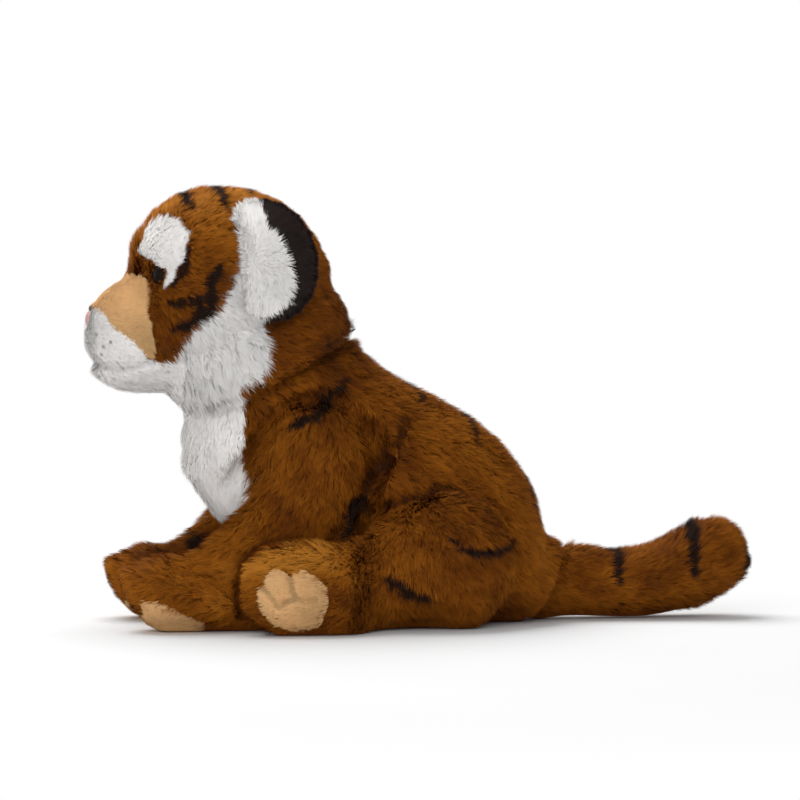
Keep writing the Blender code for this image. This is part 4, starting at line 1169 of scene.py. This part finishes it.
class TIGER_OT_cloth(bpy.types.Operator):
    """Makes the stuffed cloth form of each part of the tiger, under its pile"""

    bl_idname = "tiger.cloth"
    bl_label = "Stuffed cloth"

    def execute(self, context):
        backing = backing_material(KNIT)
        for body in ("torso", "head", *LEGS, "tail"):
            replaced = cloth_nodes(body)
            if body == "torso":
                replaced += body_nodes("neck")
            form = stuffed_cloth(body, body + "_cloth", 2.5 * MM)
            dress(form, body, replaced, backing)
        for label, _ in SIDES:
            form = stuffed_cloth("ear_" + label, f"ear_{label}_cloth", 1.4 * MM)
            dress(form, "ear_" + label, body_nodes("ear_" + label), backing)
        return {"FINISHED"}


# Where pile shows

EYE_AIM = (0.38, -0.92, 0.10)
EYE_RADIUS = 5.0 * MM
EYE_BULGE = 2.6 * MM
EYE_SINK = 4.0 * MM  # how deep the pile holds the eye below its node's dome
EYE_DROP = 1.4 * MM
EYE_BARE = 3.2 * MM
EYE_BARE_STEPS = (0.0, 1.6 * MM, 3.2 * MM)  # back from the eye, where strands would lie over it
NOSE_BARE = 5.0 * MM
FACE_MIDDLE = np.array((0.0, -0.172, 0.178))
NECK_BAND = 9.0 * MM  # the pile under the head's edge that shows when the head moves
NECK_REACH = 85.0 * MM
COVER_START = 2.0 * MM  # below the outside
COVER_REACH = 9.0 * MM
UNDER_HEIGHT = 1.2 * MM


def eye_aim(side):
    """The way an eye looks."""
    return Vector((side * EYE_AIM[0], EYE_AIM[1], EYE_AIM[2])).normalized()


def eye_centre(label, side):
    """The middle of an eye, a little behind and below the top of its node's dome."""
    aim = eye_aim(side)
    node = frame["nodes"]["eye_" + label]
    tip = max((vertex.co for vertex in node.data.vertices), key=aim.dot)
    return tip - aim * (EYE_BULGE + EYE_SINK) - Vector((0.0, 0.0, EYE_DROP))


EYES = [np.array(eye_centre(label, side) + eye_aim(side) * 2.0 * MM) for label, side in SIDES]
NOSE_SPOT = np.array(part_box("nose")).mean(axis=0)
TREES = {}


def buried(node, points, normals):
    """Spots where no pile shows: on the flat underside, under the head, and over the eyes and nose."""
    under = (points[:, 2] < UNDER_HEIGHT) & (normals[:, 2] < -0.6)
    if BODY_OF[node] == "head":
        for spot in EYES:
            for back in EYE_BARE_STEPS:
                middle = spot - back * unit(spot - FACE_MIDDLE)
                under |= np.linalg.norm(points - middle, axis=1) < EYE_BARE
        under |= np.linalg.norm(points - NOSE_SPOT, axis=1) < NOSE_BARE
    if is_one_of(node, "torso chest"):
        under |= faced_off(points, normals, "head", NECK_BAND)
    if is_one_of(node, "head_skin cheek_ruff chin"):
        under |= faced_off(points, normals, "torso", 0.0)
    return under


def body_tree(body):
    """A body's cloth as a search tree, made once."""
    if body not in TREES:
        whole = joined_copy(outer_nodes(body_nodes(body)), "faced")
        TREES[body] = Form(whole).tree()
        drop(whole)
    return TREES[body]


def faced_off(points, normals, body, band):
    """Spots that another body covers closely, but for a band along the edge of the cover."""
    tree = body_tree(body)
    near = np.flatnonzero(np.linalg.norm(points - NECK_CENTRE, axis=1) < NECK_REACH)
    covered = np.zeros(len(points), bool)
    for k in near:
        start = points[k] - normals[k] * COVER_START
        covered[k] = tree.ray_cast(start.tolist(), normals[k].tolist(), COVER_REACH)[0] is not None
    open_spots = near[~covered[near]]
    if band and len(open_spots):
        edge = KDTree(len(open_spots))
        for k in open_spots:
            edge.insert(points[k], k)
        edge.balance()
        for k in np.flatnonzero(covered):
            covered[k] = edge.find(points[k])[2] > band
    return covered


# Pile pieces

SEAM_SWELL = 1.0 * MM  # how far the nodes swell while they are remeshed, which closes their seams


def grown(label, bodies, voxel, rounds, split, swell=0.0):
    """Pile over the common outside of these bodies, one piece for each body and dye, and side if split."""
    pile = bpy.context.scene.tiger_pile
    chance = np.random.default_rng(pile.seed + len(label))
    skins = cloth_nodes(*bodies)
    form = carve(rounded_form(skins, "outside", voxel, rounds, swell), skins)
    shape = Form(form)
    drop(form)
    cloth = Cloth(outer_nodes(body_nodes(*bodies)))
    nearest, pelts = pelts_on(shape, cloth)
    dense = {pelt: kind.density_share for pelt, kind in PELTS.items()}
    densest = np.array([dense[pelt] for pelt in pelts])[shape.triangles].max(axis=1)
    points, normals, where = scattered(shape, pile.density, densest, chance)
    # Spots on a triangle that nodes share go to the nearest node, unevenly, so that no straight edge shows.
    corners = nearest[shape.triangles]
    near = corners[where, 0]
    mixed = (corners[where] != near[:, None]).any(axis=1)
    near[mixed] = cloth.numbers_at(points[mixed] + chance.normal(0.0, 0.8 * MM, (mixed.sum(), 3)))
    luck = chance.random(len(points)) * densest[where]
    gathered = {}
    for node, here in cloth.each(near):
        spots, faced, lucky = points[here], normals[here], luck[here]
        kinds = pelts_at(node, spots, faced)
        shown = ~buried(node, spots, faced)
        body = BODY_OF[node]
        ends = {"": np.ones(len(spots), bool)}
        if split and body in ("torso", "head"):
            ends = {"_left": spots[:, 0] >= 0.0, "_right": spots[:, 0] < 0.0}
        for pelt in sorted(set(kinds)):
            kept = shown & (kinds == pelt) & (lucky < dense[pelt])
            outset = (0.05 + 0.25 * PELTS[pelt].unrest) * MM
            for ending, chosen in ends.items():
                chosen = chosen & kept
                if chosen.any():
                    strands = gathered.setdefault((body, PELTS[pelt].finish, ending), Pile())
                    outside = spots[chosen] + faced[chosen] * outset
                    strands.grow(node, pelt, outside, faced[chosen], chance)
    for (body, finish, ending), strands in gathered.items():
        strands.make(f"{body}_{finish.split('_')[0]}_pile{ending}", finish, body)


class TIGER_OT_body_pile(bpy.types.Operator):
    """Grows the pile on the torso, legs and tail"""

    bl_idname = "tiger.body_pile"
    bl_label = "Body pile"

    def execute(self, context):
        grown("body", ("torso", *LEGS, "tail"), 2.1 * MM, 9, split=True, swell=SEAM_SWELL)
        return {"FINISHED"}


class TIGER_OT_head_pile(bpy.types.Operator):
    """Grows the pile on the head"""

    bl_idname = "tiger.head_pile"
    bl_label = "Head pile"

    def execute(self, context):
        grown("head", ("head",), 1.8 * MM, 6, split=True, swell=0.6 * SEAM_SWELL)
        return {"FINISHED"}


class TIGER_OT_ear_pile(bpy.types.Operator):
    """Grows the black and white pile on the ears"""

    bl_idname = "tiger.ear_pile"
    bl_label = "Ear pile"

    def execute(self, context):
        for label, _ in SIDES:
            grown("ear_" + label, ("ear_" + label,), 1.3 * MM, 3, split=False)
        return {"FINISHED"}


# Face


NOSE_WRAP = 1.6 * MM  # how far the nose's sides lie back round the muzzle
NOSE_WIDTHS = (0.42, 0.66)  # width share at its foot, and how much more at its top


def gloss_material():
    """Black safety eye: nearly black plastic with fine specks under gloss."""
    material, tree, shader = new_material("eye_gloss")
    place = linked(tree, "ShaderNodeTexCoord").outputs["Object"]
    specks = linked(tree, "ShaderNodeTexNoise", {"Vector": place, "Scale": 900.0, "Detail": 2.0})
    tone = ramp(tree, specks.outputs["Fac"], ((0.3, (0.004, 0.003, 0.003)), (0.8, (0.012, 0.008, 0.006))))
    surfaced(tree, shader, tone, 0.12, 0.04)
    return material


class TIGER_OT_eyes(bpy.types.Operator):
    """Sets a domed glossy eye over each eye node"""

    bl_idname = "tiger.eyes"
    bl_label = "Eyes"

    def execute(self, context):
        gloss = gloss_material()
        for label, side in SIDES:
            bpy.ops.object.select_all(action="DESELECT")
            bpy.ops.mesh.primitive_uv_sphere_add(segments=40, ring_count=20, radius=1.0)
            eye = bpy.context.active_object
            eye.name = "eye_dome_" + label
            eye.scale = (EYE_RADIUS, EYE_RADIUS, EYE_BULGE)
            eye.rotation_mode = "QUATERNION"
            eye.rotation_quaternion = eye_aim(side).to_track_quat("Z", "Y")
            eye.location = eye_centre(label, side)
            bpy.ops.object.transform_apply(location=True, rotation=True, scale=True)
            eye.data.shade_smooth()
            eye.data.materials.append(gloss)
            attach(eye, "head")
            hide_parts("eye_" + label)
        return {"FINISHED"}


def thread_material(name, dye, pitch):
    """Rows of satin stitches, with shade painted into the grooves between them."""
    material, tree, shader = new_material(name)
    place = linked(tree, "ShaderNodeTexCoord").outputs["Object"]
    rows = linked(tree, "ShaderNodeTexWave", {"Vector": place, "Scale": 0.16 / pitch, "Distortion": 0.6})
    # darker where the rows' bump is low: painted shade in the grooves
    tone = ramp(tree, rows.outputs["Fac"], ((0.1, toned(dye, 0.55)), (0.6, toned(dye, 1.0))))
    surfaced(tree, shader, tone, 0.55)
    bumped(tree, shader, rows.outputs["Fac"], 0.7)
    return material


def nose_shaped(obj):
    """Gives a unit-sized piece the nose's size and place, broad at the top and pointed below."""
    low, high = (np.array(v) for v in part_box("nose"))
    middle, size = (low + high) / 2.0, high - low
    foot, wider = NOSE_WIDTHS
    for vertex in obj.data.vertices:
        up = vertex.co.z + 0.5
        vertex.co.x *= size[0] * (foot + wider * min(1.0, up))
        vertex.co.y *= size[1]
        vertex.co.z *= size[2]
        vertex.co.y += NOSE_WRAP * (vertex.co.x / (size[0] / 2.0)) ** 2
        vertex.co += Vector(middle)
    obj.data.update()
    obj.data.shade_smooth()
    return obj


class TIGER_OT_nose(bpy.types.Operator):
    """Sets the stitched pink nose with its dark outline"""

    bl_idname = "tiger.nose"
    bl_label = "Nose"

    def execute(self, context):
        bpy.ops.object.select_all(action="DESELECT")
        bpy.ops.mesh.primitive_uv_sphere_add(segments=36, ring_count=18, radius=0.5)
        nose = nose_shaped(bpy.context.active_object)
        nose.name = "nose_stitching"
        nose.data.materials.append(thread_material("nose_thread", "pink", 0.7 * MM))
        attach(nose, "head")
        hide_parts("nose")
        bpy.ops.object.select_all(action="DESELECT")
        bpy.ops.mesh.primitive_torus_add(
            major_segments=48,
            minor_segments=10,
            major_radius=0.50,
            minor_radius=0.15,
            rotation=(math.pi / 2.0, 0.0, 0.0),
        )
        bpy.ops.object.transform_apply(location=True, rotation=True, scale=True)
        outline = nose_shaped(bpy.context.active_object)
        bpy.ops.transform.translate(value=(0.0, -0.5 * MM, 0.9 * MM))
        bpy.ops.object.transform_apply(location=True, rotation=False, scale=False)
        outline.name = "nose_outline"
        outline.data.materials.append(thread_material("outline_thread", "stripe", 0.5 * MM))
        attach(outline, "head")
        return {"FINISHED"}


# Studio

FLOOR_SIZE = 12.0
FLOOR_FADE = (0.26, 0.70)  # distances over which the floor turns white
SENSOR_WIDTH = 36.0
KEY_PLACE = (-0.55, -0.35, 1.45)
KEY_SIZE = 1.3
FILL_PLACE = (1.8, -0.6, 0.6)
FILL_SIZE = 1.6


def floor_material():
    """Pale matt floor that keeps the tiger's shadow and turns white further off where the camera sees it."""
    material, tree, shader = new_material("studio_floor")
    place = linked(tree, "ShaderNodeTexCoord").outputs["Object"]
    grain = linked(tree, "ShaderNodeTexNoise", {"Vector": place, "Scale": 8.0})
    tone = ramp(tree, grain.outputs["Fac"], ((0.3, (0.735,) * 3), (0.7, (0.745,) * 3)))
    surfaced(tree, shader, tone, 0.95, 0.0)
    away = linked(tree, "ShaderNodeVectorMath", {0: place}, operation="LENGTH").outputs["Value"]
    near, far = FLOOR_FADE
    faded = linked(tree, "ShaderNodeMapRange", {"Value": away, "From Min": near, "From Max": far})
    faded.interpolation_type = "SMOOTHSTEP"
    seen = linked(tree, "ShaderNodeLightPath").outputs["Is Camera Ray"]
    white = linked(tree, "ShaderNodeMath", {0: faded.outputs["Result"], 1: seen}, operation="MULTIPLY")
    glow = linked(tree, "ShaderNodeEmission", {"Color": (1.0, 1.0, 1.0, 1.0), "Strength": 1.0})
    surfaces = {0: white.outputs[0], 1: shader.outputs[0], 2: glow.outputs[0]}
    both = linked(tree, "ShaderNodeMixShader", surfaces)
    tree.links.new(both.outputs[0], tree.nodes["Material Output"].inputs["Surface"])
    return material


class TIGER_OT_studio(bpy.types.Operator):
    """Lays the floor and sets the lights, the sky and the camera"""

    bl_idname = "tiger.studio"
    bl_label = "Studio"

    def execute(self, context):
        studio = context.scene.tiger_studio
        bpy.ops.object.select_all(action="DESELECT")
        bpy.ops.mesh.primitive_plane_add(size=FLOOR_SIZE, location=(0.0, 0.0, 0.0))
        floor = bpy.context.active_object
        floor.name = "studio_floor"
        floor.data.materials.append(floor_material())
        aim = Vector(studio.aim)
        flat = Vector((math.sin(studio.azimuth), -math.cos(studio.azimuth), 0.0))
        away = flat * math.cos(studio.elevation) + Vector((0.0, 0.0, math.sin(studio.elevation)))
        lens = bpy.data.cameras.new("camera")
        lens.sensor_width = SENSOR_WIDTH
        lens.lens = SENSOR_WIDTH * studio.distance / studio.framed
        context.scene.camera = placed("camera", lens, aim + away * studio.distance, aim)
        lamp("key_light", KEY_PLACE, aim, KEY_SIZE, studio.key_power)
        lamp("fill_light", FILL_PLACE, aim, FILL_SIZE, studio.fill_power)
        white_world(studio.sky)
        context.scene.view_settings.view_transform = "Standard"
        return {"FINISHED"}


def placed(name, data, place, aim):
    """A camera or lamp at a place, turned to its aim."""
    obj = bpy.data.objects.new(name, data)
    bpy.context.scene.collection.objects.link(obj)
    obj.location = place
    obj.rotation_euler = (aim - Vector(place)).to_track_quat("-Z", "Y").to_euler()
    return obj


def lamp(name, place, aim, size, power):
    """A square soft lamp."""
    light = bpy.data.lights.new(name, "AREA")
    light.shape = "SQUARE"
    light.size = size
    light.energy = power
    placed(name, light, place, aim)


def white_world(strength):
    """A sky that lights at one strength and is white where the camera, gloss or glass sees it."""
    world = bpy.data.worlds.new("studio")
    world.use_nodes = True
    tree = world.node_tree
    back = tree.nodes["Background"]
    back.inputs["Color"].default_value = (1.0, 1.0, 1.0, 1.0)
    path = linked(tree, "ShaderNodeLightPath")
    seen = path.outputs["Is Camera Ray"]
    for other in ("Is Glossy Ray", "Is Transmission Ray"):
        either = linked(tree, "ShaderNodeMath", {0: seen, 1: path.outputs[other]}, operation="MAXIMUM")
        seen = either.outputs[0]
    level = linked(tree, "ShaderNodeMapRange", {"Value": seen, "To Min": strength, "To Max": 1.0})
    tree.links.new(level.outputs["Result"], back.inputs["Strength"])
    bpy.context.scene.world = world


class TIGER_PT_panel(bpy.types.Panel):
    """Lists the tiger's pieces in the sidebar"""

    bl_idname = "TIGER_PT_panel"
    bl_label = "Plush Tiger"
    bl_space_type = "VIEW_3D"
    bl_region_type = "UI"
    bl_category = "Plush Tiger"

    def draw(self, context):
        for operator in OPERATORS:
            self.layout.operator(operator.bl_idname)
        for group, kind in SETTINGS.items():
            box = self.layout.box()
            for name in kind.__annotations__:
                box.prop(getattr(context.scene, group), name)


OPERATORS = (
    TIGER_OT_cloth,
    TIGER_OT_body_pile,
    TIGER_OT_head_pile,
    TIGER_OT_ear_pile,
    TIGER_OT_eyes,
    TIGER_OT_nose,
    TIGER_OT_studio,
)
SETTINGS = {"tiger_pile": PileSettings, "tiger_colours": ColourSettings, "tiger_studio": StudioSettings}
CLASSES = (*SETTINGS.values(), *OPERATORS, TIGER_PT_panel)


def register():
    for kind in CLASSES:
        bpy.utils.register_class(kind)
    for group, kind in SETTINGS.items():
        setattr(bpy.types.Scene, group, PointerProperty(type=kind))


def unregister():
    for group in SETTINGS:
        delattr(bpy.types.Scene, group)
    for kind in reversed(CLASSES):
        bpy.utils.unregister_class(kind)


def main():
    register()
    bpy.ops.tiger.cloth()
    bpy.ops.tiger.body_pile()
    bpy.ops.tiger.head_pile()
    bpy.ops.tiger.ear_pile()
    bpy.ops.tiger.eyes()
    bpy.ops.tiger.nose()
    bpy.ops.tiger.studio()
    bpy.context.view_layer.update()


if __name__ == "__main__":
    main()
